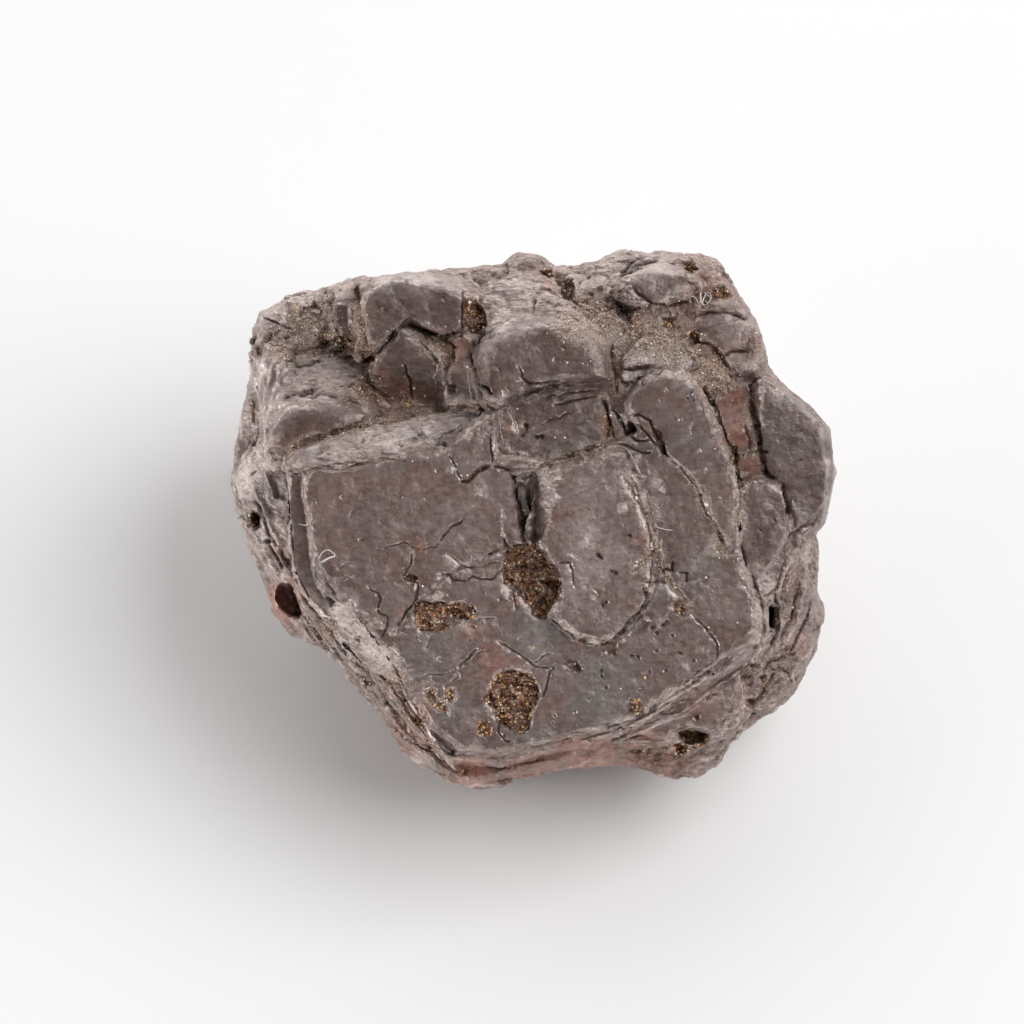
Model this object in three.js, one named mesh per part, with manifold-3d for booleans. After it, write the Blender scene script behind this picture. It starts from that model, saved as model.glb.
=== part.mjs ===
// A prophecy stone: one natural nodule of intergrown, desert-worn crystals, lying on a flat of its own.
//
// The stone is built in its face frame: u runs right, v runs up the broad front face and w stands out
// of that face, with the origin in the middle of the face. Each crystal is a slab with a worn rim. All
// crystals are fused with a core, the pits are sunk, the stone is leaned back and its underside is
// trimmed to the flat that it rests on. Lengths are in millimetres.

import * as THREE from "three";
import { LoftGeometry } from "three/addons/geometries/LoftGeometry.js";
import { mergeVertices } from "three/addons/utils/BufferGeometryUtils.js";
import Module from "manifold-3d";

// Driving dimensions.
const LEAN_BACK = THREE.MathUtils.degToRad(30); // of the broad face from level
const FACE_AT = new THREE.Vector3(-0.4, -6.6, 26); // the face frame's origin above the resting flat
const CORE_ROOT = -16; // how deep the front crystals reach into the core
const SLIVER = 0.04; // the finest edge left where crystals meet

const wasm = await Module();
wasm.setup();

// A closed geometry as a solid that can be joined and cut.
function solidOf(geometry) {
  const bare = new THREE.BufferGeometry();
  bare.setAttribute("position", geometry.attributes.position);
  bare.setIndex(geometry.index);
  const merged = mergeVertices(bare, 1e-4);
  return new wasm.Manifold(
    new wasm.Mesh({
      numProp: 3,
      vertProperties: merged.attributes.position.array,
      triVerts: new Uint32Array(merged.index.array),
    }),
  );
}

// A closed skin over sections of the same number of points.
function skin(sections) {
  return new LoftGeometry(sections, { capStart: true, capEnd: true });
}

// A solid's faces as a geometry for a mesh.
function geometryOf(solid) {
  const mesh = solid.getMesh();
  const geometry = new THREE.BufferGeometry();
  geometry.setAttribute("position", new THREE.BufferAttribute(mesh.vertProperties, 3));
  geometry.setIndex(new THREE.BufferAttribute(mesh.triVerts, 1));
  return geometry;
}

function middleOf(outline) {
  const sum = outline.reduce(([u, v], [pu, pv]) => [u + pu, v + pv], [0, 0]);
  return [sum[0] / outline.length, sum[1] / outline.length];
}

// The outline scaled about its middle.
function scaled(outline, scale) {
  const [mu, mv] = middleOf(outline);
  return outline.map(([u, v]) => [mu + (u - mu) * scale, mv + (v - mv) * scale]);
}

// The outline moved out from its middle by grow, or in where grow is negative.
function grown(outline, grow) {
  const [mu, mv] = middleOf(outline);
  return outline.map(([u, v]) => {
    const reach = Math.hypot(u - mu, v - mv);
    const scale = Math.max(0.05, 1 + grow / reach);
    return [mu + (u - mu) * scale, mv + (v - mv) * scale];
  });
}

// One crystal: a block whose face has this outline, anticlockwise, at this height. lean is the rise of
// the face per millimetre along u and v, worn is how far its rim is rounded off, skirt is how much
// wider it is below the rim, root is where it ends in the core and crown is how far its middle bulges.
function crystal({ outline, face, lean = [0, 0], root = CORE_ROOT, worn = 0.7, skirt = 1.1, crown = 0 }) {
  const [mu, mv] = middleOf(outline);
  const ring = (grow, drop) =>
    grown(outline, grow).map((point) => {
      const [u, v] = held(point);
      return new THREE.Vector3(u, v, face + lean[0] * (u - mu) + lean[1] * (v - mv) - drop);
    });
  const sections = [
    scaled(outline, 0.6).map(([u, v]) => new THREE.Vector3(u, v, root)),
    ring(skirt, 2 + worn),
    ring(0, worn),
    ring(-0.3 * worn, 0.35 * worn),
    ring(-worn, 0),
  ];
  if (crown) sections.push(ring(-2.2 * worn, -0.7 * crown), ring(-4 * worn, -crown));
  return solidOf(skin(sections));
}

// A sunk hollow with the outline at the surface: it narrows to its floor.
function hollow({ outline, floor, top = 6, narrows = 0.5 }) {
  const level = (grow, w) => grown(outline, grow).map(([u, v]) => new THREE.Vector3(u, v, w));
  return solidOf(skin([level(-narrows, floor), level(0, floor + 1), level(0.3, top)]));
}

// How far the stone reaches from its middle, seen square to the broad face.
const GIRTH = [
  [24.9, 5.2], [24.5, 7.9], [21.9, 10.3], [19.1, 12.5], [19.3, 14.6], [17.6, 17.8], [16.2, 19.8],
  [15.0, 21.7], [13.0, 22.2], [10.6, 22.1], [8.1, 22.7], [6.9, 22.5], [4.5, 21.7], [2.0, 21.3],
  [0.4, 22.5], [-0.8, 22.5], [-2.4, 21.4], [-6.9, 20.8], [-8.9, 20.7], [-12.5, 20.6], [-15.0, 20.0],
  [-16.2, 19.6], [-18.6, 19.1], [-20.6, 18.6], [-21.7, 17.8], [-22.5, 16.2], [-22.7, 13.4], [-23.4, 7.3],
  [-24.1, 4.0], [-23.8, 2.4], [-23.3, -0.8], [-20.6, -3.9], [-21.3, -5.7], [-20.8, -6.9], [-18.6, -8.7],
  [-15.0, -11.4], [-13.8, -13.0], [-11.8, -15.4], [-10.9, -17.4], [-9.7, -18.5], [-7.3, -19.9], [-5.2, -21.1],
  [-2.4, -20.9], [-1.2, -20.3], [2.4, -19.7], [4.5, -18.7], [6.9, -18.5], [11.0, -20.1], [13.8, -19.9],
  [15.0, -19.1], [16.4, -17.0], [17.2, -15.6], [19.9, -14.8], [21.9, -12.2], [23.1, -10.1], [24.0, -7.3],
  [22.9, -4.1], [21.9, -1.4], [23.5, -0.4], [24.3, 1.2],
];

// The girth's reach from the middle of the face towards the point u, v.
function reachTowards(u, v) {
  let reach = 0;
  GIRTH.forEach(([au, av], i) => {
    const [bu, bv] = GIRTH[(i + 1) % GIRTH.length];
    const across = (bu - au) * v - (bv - av) * u;
    const along = (bu * v - bv * u) / across;
    if (along < 0 || along > 1) return;
    const hitU = along * au + (1 - along) * bu;
    const hitV = along * av + (1 - along) * bv;
    if (hitU * u + hitV * v > 0) reach = Math.max(reach, Math.hypot(hitU, hitV));
  });
  return reach;
}

// A point drawn back inside the girth by this inset, if it lies beyond that.
function held([u, v], inset = 0) {
  const limit = reachTowards(u, v) - inset;
  const scale = Math.min(1, limit / Math.hypot(u, v));
  return [u * scale, v * scale];
}

// The broad front: plates that grew flat on one another, the widest at the bottom.
const PLATES = [
  {
    outline: [
      [-20.0, 4.6], [-19.4, -1.0], [-18.6, -5.4], [-15.6, -9.4], [-12.6, -12.4], [-10.6, -16.4], [-7.6, -19.2],
      [-4.8, -20.4], [-1.6, -19.6], [2.6, -18.8], [6.6, -16.6], [12.4, -14.8], [16.8, -12.0], [19.4, -8.4],
      [18.8, -4.0], [14.0, 6.0], [0.0, 8.0], [-19.0, 6.0],
    ],
    face: -4.3, worn: 0.6, skirt: 0.3,
  },
  {
    outline: [
      [-19.3, 4.8], [-19.2, 0.8], [-18.8, -3.2], [-17.4, -5.8], [-14.6, -9.4], [-11.6, -12.6], [-9.4, -16.0],
      [-6.4, -18.4], [-2.4, -18.8], [3.2, -17.4], [7.4, -16.2], [13.0, -13.2], [17.4, -10.2], [18.4, -7.2],
      [17.4, -3.2], [12.0, 4.0], [0.0, 6.0], [-18.6, 5.8],
    ],
    face: -1.5, worn: 0.4, skirt: 0.15,
  },
  {
    outline: [
      [-18.2, 4.2], [-18.0, 2.0], [-17.4, -1.6], [-16.8, -4.6], [-14.0, -6.6], [-11.0, -10.6], [-9.6, -13.2],
      [-8.0, -15.8], [-5.6, -17.6], [-2.4, -17.9], [2.4, -16.8], [7.2, -15.4], [12.8, -12.4], [15.2, -10.4],
      [18.0, -9.0], [18.2, -6.8], [17.0, -2.2], [16.2, 3.0], [14.2, 7.6], [10.6, 9.2], [7.6, 7.4],
      [2.4, 5.4], [-2.4, 6.0], [-7.2, 5.8], [-14.8, 5.2],
    ],
    face: 0, worn: 0.4, skirt: 0.1,
  },
];

// Crystals on and around the broad front.
const FRONT = {
  leftBlock: {
    outline: [
      [-18.2, 3.6], [-17.2, -2.6], [-14.6, -6.0], [-10.8, -8.4], [-9.4, -6.4], [-7.0, -3.8], [-2.0, -1.4],
      [-2.3, 4.6], [-3.2, 9.2], [-7.4, 6.2], [-14.8, 5.3], [-17.6, 4.8],
    ],
    face: 0.25, lean: [0.01, -0.02], worn: 0.25,
  },
  shelf: {
    outline: [
      [-18.6, 5.2], [-14.8, 5.2], [-7.4, 6.2], [-3.4, 9.0], [-3.8, 9.9], [-7.2, 9.5], [-10.8, 8.9],
      [-13.2, 8.3], [-16.0, 7.4], [-18.6, 6.2],
    ],
    face: -1.3, lean: [0.0, -0.95], worn: 0.2,
  },
  middlePlate: {
    outline: [
      [-0.4, 2.4], [-0.2, -0.8], [0.8, -2.6], [1.2, -5.6], [2.4, -7.4], [3.8, -8.6], [5.6, -9.0],
      [7.0, -8.6], [8.8, -6.6], [9.8, -4.8], [10.2, -2.0], [9.6, 1.2], [8.8, 4.0], [7.6, 6.6],
      [5.6, 6.2], [2.4, 5.0], [0.4, 4.4],
    ],
    face: 0.75, lean: [-0.01, -0.03], worn: 0.4,
  },
  longPlate: {
    outline: [
      [7.4, 10.4], [7.8, 9.2], [8.8, 7.8], [10.0, 6.8], [11.0, 5.7], [12.4, 4.3], [13.4, 3.2],
      [14.0, 1.9], [14.8, 0.3], [15.4, -1.0], [15.9, -2.2], [16.7, -1.8], [17.0, 0.2], [16.7, 2.6],
      [16.3, 4.6], [15.8, 6.2], [15.1, 7.8], [14.4, 9.4], [13.6, 10.9], [12.8, 11.9], [12.0, 12.6],
      [10.8, 12.7], [9.6, 12.3], [8.6, 11.5],
    ],
    face: 0.3, lean: [0.08, 0.03], worn: 0.5, skirt: 0.3,
  },
  upperBlock: {
    outline: [
      [-4.2, 12.4], [-3.9, 10.4], [-2.6, 9.9], [-0.8, 10.8], [2.4, 11.7], [6.2, 12.1], [6.1, 13.6],
      [5.4, 15.0], [4.0, 16.1], [2.4, 16.6], [0.0, 16.5], [-2.4, 15.8], [-3.8, 14.4],
    ],
    face: 0.5, lean: [0.0, -0.05], worn: 0.9, skirt: 0.6,
  },
  recessFloor: {
    outline: [
      [-3.2, 10.6], [-2.6, 4.4], [0.4, 4.0], [7.6, 6.2], [8.2, 11.0], [6.4, 12.6], [0.0, 12.0],
    ],
    face: -1.1, lean: [0.0, -0.03], worn: 0.2,
  },
  roofCrystal: {
    outline: [
      [-4.2, 16.6], [-2.4, 14.8], [4.0, 15.0], [5.4, 16.0], [3.6, 17.6], [1.2, 19.5], [0.0, 20.1],
      [-3.2, 19.6], [-4.2, 18.4],
    ],
    face: -3.4, lean: [0.1, -0.7], worn: 0.6,
  },
  hoodCrystal: {
    outline: [
      [-13.8, 15.2], [-13.1, 14.2], [-12.2, 14.8], [-10.8, 16.2], [-9.6, 16.7], [-8.0, 15.9], [-5.8, 15.2],
      [-4.5, 16.4], [-4.2, 18.6], [-6.0, 19.6], [-8.4, 20.2], [-11.2, 20.3], [-13.1, 19.5], [-13.9, 18.0],
    ],
    face: -3.0, lean: [0.0, -0.12], worn: 1.1,
  },
  tooth: {
    outline: [
      [-13.0, 12.2], [-12.0, 10.6], [-10.0, 10.0], [-7.2, 10.0], [-6.6, 11.6], [-7.0, 12.8], [-8.4, 14.8],
      [-10.4, 16.2], [-12.4, 14.0],
    ],
    face: -4.4, lean: [0.05, 0.28], worn: 0.4,
  },
  saddle: {
    outline: [
      [-7.4, 15.6], [-7.0, 12.6], [-6.8, 9.6], [-4.0, 9.4], [-4.2, 12.6], [-4.0, 15.6], [-5.6, 16.2],
    ],
    face: -2.9, lean: [0.15, -0.2], worn: 0.5,
  },
  shoulder: {
    outline: [
      [-21.0, 6.8], [-20.2, 5.4], [-18.6, 5.6], [-16.0, 7.2], [-14.0, 8.2], [-13.0, 9.2], [-15.2, 10.4],
      [-17.6, 10.6], [-19.6, 9.9], [-20.6, 8.6],
    ],
    face: -2.3, lean: [0.04, -0.1], worn: 0.9, crown: 0.3,
  },
  leftSlope: {
    outline: [
      [-20.6, 9.8], [-17.6, 9.8], [-13.0, 8.9], [-12.6, 11.0], [-13.2, 14.4], [-15.2, 15.2], [-18.8, 15.0],
      [-19.8, 12.6],
    ],
    face: -5.4, lean: [0.05, -0.75], worn: 0.5,
  },
  leftBrow: {
    outline: [
      [-22.0, 14.6], [-18.4, 14.2], [-15.8, 15.2], [-15.6, 18.4], [-16.8, 19.2], [-20.0, 18.5], [-21.4, 17.6],
      [-22.2, 16.2],
    ],
    face: -7.6, lean: [0.15, -0.4], worn: 0.9,
  },
  darkPost: {
    outline: [
      [-15.9, 15.6], [-14.6, 14.6], [-13.8, 15.6], [-13.7, 19.4], [-14.8, 19.9], [-15.8, 18.6],
    ],
    face: -5.2, lean: [0.05, -0.1], worn: 0.5,
  },
  outerLeftRib: {
    outline: [
      [-22.9, 7.0], [-20.8, 6.6], [-20.2, 10.0], [-20.6, 14.8], [-22.2, 14.8], [-22.6, 12.8],
    ],
    face: -8.6, lean: [0.5, 0.0], worn: 0.6,
  },
  innerLeftRib: {
    outline: [
      [-21.3, 8.8], [-20.6, 7.0], [-19.8, 9.6], [-19.4, 14.4], [-21.2, 15.0], [-21.6, 12.6],
    ],
    face: -5.6, lean: [0.3, -0.1], worn: 0.5,
  },
  knob: {
    outline: [
      [-23.6, 4.2], [-23.4, 1.6], [-22.8, -1.2], [-20.6, -4.0], [-18.4, -4.8], [-18.0, 2.0], [-18.6, 5.4],
      [-21.2, 6.2], [-23.0, 5.7],
    ],
    face: -6.0, lean: [0.45, 0.1], worn: 0.9,
  },
  cup: {
    outline: [
      [-20.9, -4.6], [-20.6, -6.4], [-19.4, -7.6], [-17.6, -8.0], [-16.8, -6.0], [-18.6, -3.8], [-20.2, -3.9],
    ],
    face: -8.4, lean: [0.15, 0.1], worn: 0.5,
  },
  lowerLeftFoot: {
    outline: [
      [-19.4, -6.2], [-18.0, -8.6], [-14.8, -11.0], [-13.0, -13.2], [-11.8, -15.2], [-10.6, -17.2], [-9.4, -18.2],
      [-7.0, -19.6], [-5.0, -20.8], [-2.4, -20.6], [-4.0, -14.0], [-10.0, -8.0], [-16.0, -4.0],
    ],
    face: -6.4, lean: [0.05, 0.12], worn: 0.9,
  },
  tailLobe: {
    outline: [
      [6.4, -17.8], [8.8, -19.2], [10.8, -19.9], [13.6, -19.7], [14.9, -18.8], [16.2, -16.8], [17.0, -15.2],
      [16.0, -12.8], [12.0, -12.6], [7.2, -15.6],
    ],
    face: -7.0, lean: [0.0, 0.14], worn: 0.9,
  },
  lowerRightLedge: {
    outline: [
      [6.4, -17.0], [10.6, -17.4], [13.4, -17.0], [15.6, -16.2], [16.8, -14.6], [17.0, -12.6], [18.6, -9.4],
      [14.0, -10.0], [9.0, -13.0],
    ],
    face: -4.6, lean: [-0.05, 0.1], worn: 0.6,
  },
  rightFoot: {
    outline: [
      [16.8, -14.8], [19.6, -14.5], [21.6, -11.9], [22.8, -9.9], [23.7, -7.2], [22.6, -4.0], [21.4, -1.6],
      [20.0, -1.4], [18.4, -6.0], [17.6, -10.4],
    ],
    face: -7.4, lean: [-0.28, 0.08], worn: 0.9,
  },
  innerRightPlate: {
    outline: [
      [17.0, 0.0], [17.4, -3.0], [18.8, -5.8], [20.0, -5.2], [20.8, -3.0], [20.9, -0.6], [20.8, 3.4],
      [18.6, 4.2], [16.8, 3.6],
    ],
    face: -3.2, lean: [-0.2, 0.02], worn: 0.5,
  },
  outerRightBlock: {
    outline: [
      [17.9, 10.2], [18.6, 7.4], [19.6, 4.2], [20.6, 1.6], [20.9, -0.8], [21.6, -1.4], [23.0, -0.4],
      [23.9, 1.4], [24.5, 5.0], [24.1, 7.8], [23.2, 8.8], [21.8, 10.0], [19.4, 11.9], [18.2, 12.3],
    ],
    face: -3.6, lean: [-0.16, 0.03], worn: 0.8,
  },
  redStrip: {
    outline: [
      [14.2, 11.0], [15.0, 9.0], [16.0, 6.0], [17.0, 3.6], [19.0, 4.0], [18.2, 8.0], [17.6, 11.6],
      [15.4, 12.0],
    ],
    face: -4.0, lean: [0.05, 0.05], worn: 0.4,
  },
  sandSlope: {
    outline: [
      [5.0, 14.6], [7.4, 11.0], [10.0, 12.0], [13.6, 10.8], [15.6, 12.2], [12.8, 15.6], [8.0, 16.6],
      [4.0, 18.2], [2.8, 17.6],
    ],
    face: -3.0, lean: [-0.1, -0.42], worn: 0.3,
  },
  sandWedge: {
    outline: [
      [7.4, 13.6], [7.6, 12.0], [9.8, 12.6], [12.2, 12.7], [13.6, 13.4], [12.4, 15.4], [10.6, 15.8],
      [8.6, 15.0],
    ],
    face: -2.0, lean: [-0.08, -0.3], worn: 0.3,
  },
  rightBrow: {
    outline: [
      [6.8, 18.6], [8.2, 17.8], [9.6, 17.9], [11.4, 18.1], [12.8, 18.4], [13.5, 19.5], [13.0, 20.6],
      [10.8, 20.9], [8.7, 20.7], [7.1, 19.8],
    ],
    face: -4.2, lean: [0.0, -0.12], worn: 0.6, skirt: 0.6,
  },
  pinkPlate: {
    outline: [
      [8.2, 16.1], [9.6, 15.5], [10.6, 15.9], [10.4, 16.8], [9.4, 17.8], [8.2, 17.3],
    ],
    face: -3.6, lean: [0.0, -0.25], worn: 0.25, skirt: 0.4,
  },
  stubCrystal: {
    outline: [
      [10.3, 16.5], [11.1, 16.2], [11.6, 17.4], [10.8, 18.7], [9.7, 18.4], [9.6, 17.6],
    ],
    face: -3.7, lean: [0.0, -0.1], worn: 0.3, skirt: 0.3,
  },
  brownSlope: {
    outline: [
      [11.2, 16.0], [12.8, 15.4], [13.8, 17.0], [13.5, 18.8], [11.2, 18.6],
    ],
    face: -4.9, lean: [0.0, -0.3], worn: 0.4,
  },
  rightRoof: {
    outline: [
      [4.6, 19.0], [6.8, 19.0], [11.0, 19.6], [13.6, 20.4], [13.0, 21.8], [10.4, 21.8], [8.0, 22.3],
      [6.4, 21.9], [4.6, 21.2],
    ],
    face: -7.4, lean: [0.1, -0.8], worn: 0.4,
  },
  redCap: {
    outline: [
      [12.4, 18.0], [15.4, 17.4], [17.0, 18.0], [16.0, 19.8], [14.9, 21.3], [12.8, 21.9], [11.4, 21.0],
    ],
    face: -7.0, lean: [-0.1, -0.3], worn: 0.8,
  },
  wedge: {
    outline: [
      [12.8, 17.4], [13.2, 15.8], [16.4, 16.2], [17.6, 17.2], [16.6, 18.4], [15.0, 18.6],
    ],
    face: -5.6, lean: [-0.1, -0.35], worn: 0.5,
  },
  rightLump: {
    outline: [
      [12.8, 15.4], [14.2, 14.2], [15.2, 12.6], [17.0, 11.9], [18.8, 12.2], [19.1, 14.4], [18.2, 16.4],
      [17.0, 17.0], [14.4, 16.4],
    ],
    face: -4.6, lean: [-0.18, -0.08], worn: 0.9,
  },
  backRidge: {
    outline: [
      [-7.4, 19.4], [-4.0, 18.6], [-2.0, 19.4], [-2.2, 21.1], [-4.8, 21.0], [-7.0, 20.6],
    ],
    face: -7.2, lean: [0.0, -0.4], worn: 0.5,
  },
  crest: {
    outline: [
      [-2.4, 20.6], [-0.8, 19.4], [2.0, 19.4], [2.2, 21.0], [0.5, 22.2], [-0.8, 22.2],
    ],
    face: -8.2, lean: [0.0, -0.3], worn: 0.6,
  },
  redNook: {
    outline: [
      [1.2, 19.4], [3.2, 17.4], [5.0, 18.2], [5.0, 21.0], [2.2, 21.0],
    ],
    face: -8.6, lean: [0.0, -0.3], worn: 0.4,
  },
  capLump: {
    outline: [
      [3.0, 18.6], [4.4, 16.6], [6.8, 16.8], [7.2, 18.8], [5.8, 20.0], [3.8, 19.8],
    ],
    face: -5.0, lean: [0.0, -0.4], worn: 0.6,
  },
};

// Hollows sunk into the front where softer ore has weathered out.
const HOLLOWS = [
  {
    outline: [
      [-2.2, 4.3], [-2.0, 2.4], [-1.8, 0.4], [-1.3, -0.9], [-0.5, -0.2], [-0.1, 1.2], [0.3, 2.8],
      [0.4, 4.7], [-0.8, 4.5],
    ],
    floor: -2.6, narrows: 0.3,
  },
  {
    outline: [
      [-2.1, -2.9], [-1.0, -4.2], [0.0, -5.8], [0.8, -7.0], [1.8, -6.4], [2.5, -5.2], [2.4, -3.6],
      [1.6, -2.8], [1.2, -1.8], [0.0, -1.2], [-1.6, -1.4],
    ],
    floor: -1.5,
  },
  {
    outline: [
      [-9.2, -6.0], [-9.0, -7.6], [-8.0, -8.3], [-6.9, -7.4], [-5.0, -7.2], [-4.5, -6.2], [-7.0, -5.8],
      [-8.4, -5.7],
    ],
    floor: -1.2,
  },
  {
    outline: [
      [-3.0, -12.2], [-2.4, -13.8], [-2.2, -15.6], [-0.4, -16.3], [0.1, -14.6], [0.6, -12.6], [-0.2, -11.3],
      [-1.6, -11.0], [-2.8, -11.4],
    ],
    floor: -1.4,
  },
  {
    outline: [
      [-20.6, -5.5], [-20.2, -6.3], [-19.4, -7.0], [-18.6, -7.3], [-18.2, -6.9], [-18.6, -5.8],
      [-19.0, -4.9], [-19.4, -4.3], [-20.0, -4.3], [-20.4, -4.8],
    ],
    floor: -10.4, narrows: 0.3,
  },
  { outline: [[-22.6, 0.8], [-22.1, 0.2], [-21.6, 0.6], [-21.7, 1.4], [-22.3, 1.5]], floor: -7.6, narrows: 0.2 },
  { outline: [[19.0, -6.0], [19.1, -8.2], [19.8, -8.0], [19.9, -6.2]], floor: -11.0, narrows: 0.2 },
  { outline: [[11.8, -16.2], [12.2, -17.3], [14.2, -17.4], [14.5, -16.2], [13.2, -15.9]], floor: -6.4, narrows: 0.3 },
];

// The mass behind the crystals.
function core() {
  const turns = Array.from({ length: 20 }, (_, i) => (i / 20) * 2 * Math.PI);
  const level = (inset, w) =>
    turns.map((turn) => {
      const reach = reachTowards(Math.cos(turn), Math.sin(turn)) - inset;
      return new THREE.Vector3(reach * Math.cos(turn), reach * Math.sin(turn), w);
    });
  const sections = [level(14, -32), level(7, -28), level(3.2, -22), level(2.4, -14), level(5, -9), level(9, -5)];
  return solidOf(skin(sections));
}

// How far inside the girth the stone lies at this depth behind the face.
function tuck(w) {
  const behind = Math.max(0, -w - 13);
  return 0.3 + 0.028 * behind * behind;
}

// A crystal standing out of the flank or the back, at this turn round the stone and this depth. rise
// is how far it faces backwards, proud is how far it stands out and twist turns it in its own face.
function flankCrystal({ turn, rise, depth, proud, across, high, twist }) {
  const way = new THREE.Vector3(Math.cos(turn) * Math.cos(rise), Math.sin(turn) * Math.cos(rise), -Math.sin(rise));
  const reach = reachTowards(Math.cos(turn), Math.sin(turn)) - tuck(depth) + proud;
  const corners = [[-0.5, -0.38], [0.06, -0.52], [0.5, -0.36], [0.48, 0.4], [-0.08, 0.54], [-0.52, 0.36]];
  const ring = (grow, out) =>
    grown(corners.map(([a, b]) => [a * across, b * high]), grow).map(([a, b]) => new THREE.Vector3(a, b, out));
  const geometry = skin([ring(-1.5, -8), ring(0.8, -2.6), ring(0, -0.6), ring(-0.9, 0)]);
  geometry.rotateZ(twist);
  geometry.applyMatrix4(new THREE.Matrix4().lookAt(way, new THREE.Vector3(), new THREE.Vector3(0, 0, 1)));
  geometry.translate(Math.cos(turn) * reach, Math.sin(turn) * reach, depth);
  const points = geometry.attributes.position;
  for (let i = 0; i < points.count; i++) {
    const w = points.getZ(i);
    const [u, v] = held([points.getX(i), points.getY(i)], tuck(w) - 0.15 * (1 + proud));
    points.setXYZ(i, u, v, w);
  }
  return solidOf(geometry);
}

// Rows of crystals round the flank, from the girth to the back.
const FLANK_ROWS = [
  { count: 14, start: 0.1, depth: -13.5, rise: 0.1, across: 10.5, high: 8.5 },
  { count: 12, start: 0.35, depth: -20.5, rise: 0.3, across: 11, high: 9 },
  { count: 9, start: 0.0, depth: -26.5, rise: 0.85, across: 12, high: 10 },
];

// A repeatable unevenness between -1 and 1 for the crystal with this number.
function uneven(number, salt) {
  const wave = Math.sin(number * 12.9898 + salt * 78.233) * 43758.5453;
  return 2 * (wave - Math.floor(wave)) - 1;
}

function flank() {
  return FLANK_ROWS.flatMap((row, r) =>
    Array.from({ length: row.count }, (_, i) => {
      const number = 17 * r + i;
      return flankCrystal({
        turn: ((i + row.start + 0.2 * uneven(number, 1)) / row.count) * 2 * Math.PI,
        rise: row.rise + 0.22 * uneven(number, 2),
        depth: row.depth + 1.6 * uneven(number, 3),
        proud: 0.9 * uneven(number, 4),
        across: row.across * (1 + 0.22 * uneven(number, 5)),
        high: row.high * (1 + 0.2 * uneven(number, 6)),
        twist: 0.35 * uneven(number, 7),
      });
    }),
  );
}

// The solid without the hollows shut inside it and without slivers shorter than SLIVER.
function outside(solid) {
  const shells = solid.simplify(SLIVER).decompose();
  return shells.reduce((biggest, shell) => (shell.volume() > biggest.volume() ? shell : biggest));
}

// Everything below the level that the stone rests on.
function ground() {
  const square = [[-40, -40], [40, -40], [40, 40], [-40, 40]];
  return skin([-40, 0].map((z) => square.map(([x, y]) => new THREE.Vector3(x, y, z))));
}

function build() {
  const pieces = [core(), ...flank(), ...PLATES.map(crystal), ...Object.values(FRONT).map(crystal)];
  const joined = wasm.Manifold.union(pieces);
  const pitted = HOLLOWS.map(hollow).reduce((whole, pit) => whole.subtract(pit), joined);
  return geometryOf(pitted);
}

const laid = build();
laid.rotateX(LEAN_BACK);
laid.translate(FACE_AT.x, FACE_AT.y, FACE_AT.z);
const rested = outside(solidOf(laid).subtract(solidOf(ground())));

const ironstone = new THREE.MeshStandardMaterial({ color: 0x6b6160, roughness: 0.5, metalness: 0.25 });
const stone = new THREE.Mesh(geometryOf(rested), ironstone);
stone.name = "stone";

const part = new THREE.Group();
part.add(stone);

export default part;
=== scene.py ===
# A prophecy stone: one natural nodule of iron ore crystals, polished by desert wind, with sand still
# caught in its cracks. It lies on a pale table under soft light.

import math

import bpy
import numpy as np
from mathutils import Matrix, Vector
from mathutils.bvhtree import BVHTree


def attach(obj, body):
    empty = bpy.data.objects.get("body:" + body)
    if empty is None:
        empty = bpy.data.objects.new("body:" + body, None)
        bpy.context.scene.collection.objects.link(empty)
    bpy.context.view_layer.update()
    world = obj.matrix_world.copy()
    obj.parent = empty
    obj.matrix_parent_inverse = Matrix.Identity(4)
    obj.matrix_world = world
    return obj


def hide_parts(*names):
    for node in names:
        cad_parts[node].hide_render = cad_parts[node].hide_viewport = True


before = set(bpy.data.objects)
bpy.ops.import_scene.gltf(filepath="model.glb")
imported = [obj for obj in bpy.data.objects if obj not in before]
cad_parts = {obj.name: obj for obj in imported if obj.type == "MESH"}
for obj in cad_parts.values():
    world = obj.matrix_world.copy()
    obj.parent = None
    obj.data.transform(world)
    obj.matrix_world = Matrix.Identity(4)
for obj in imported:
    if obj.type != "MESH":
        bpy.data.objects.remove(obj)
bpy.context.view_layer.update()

# --------------------------------------------------------------------------------------------------
# The view. The stone is looked at square to its broad front face, which leans back from level. That
# face has a frame of its own, in millimetres: u to the right, v up the face and w out of it.
MM = 0.001
LEAN_BACK = math.radians(30)
FACE_AT = np.array([-0.4, -6.6, 26.0])
FACE_U = np.array([1.0, 0.0, 0.0])
FACE_V = np.array([0.0, math.cos(LEAN_BACK), math.sin(LEAN_BACK)])
FACE_W = np.array([0.0, -math.sin(LEAN_BACK), math.cos(LEAN_BACK)])
CAMERA_DISTANCE = 910.2
CAMERA_LENS = 400.0
CAMERA_AIM = np.array([-1.44, 1.44])
SENSOR_WIDTH = 36.0
SEEN_BETWEEN = (0.01, 20.0)


def from_face(u, v, w):
    """The place in the row frame, in metres, of a point of the face frame."""
    return Vector((FACE_AT + u * FACE_U + v * FACE_V + w * FACE_W) * MM)


def placed(name, data):
    """An object of this name, in the scene."""
    thing = bpy.data.objects.new(name, data)
    bpy.context.scene.collection.objects.link(thing)
    return thing


camera_data = bpy.data.cameras.new("camera")
camera_data.lens = CAMERA_LENS
camera_data.sensor_width = SENSOR_WIDTH
camera_data.clip_start, camera_data.clip_end = SEEN_BETWEEN
camera = placed("camera", camera_data)
camera.location = from_face(*CAMERA_AIM, CAMERA_DISTANCE)
camera.rotation_euler = (LEAN_BACK, 0, 0)
bpy.context.scene.camera = camera

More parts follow.
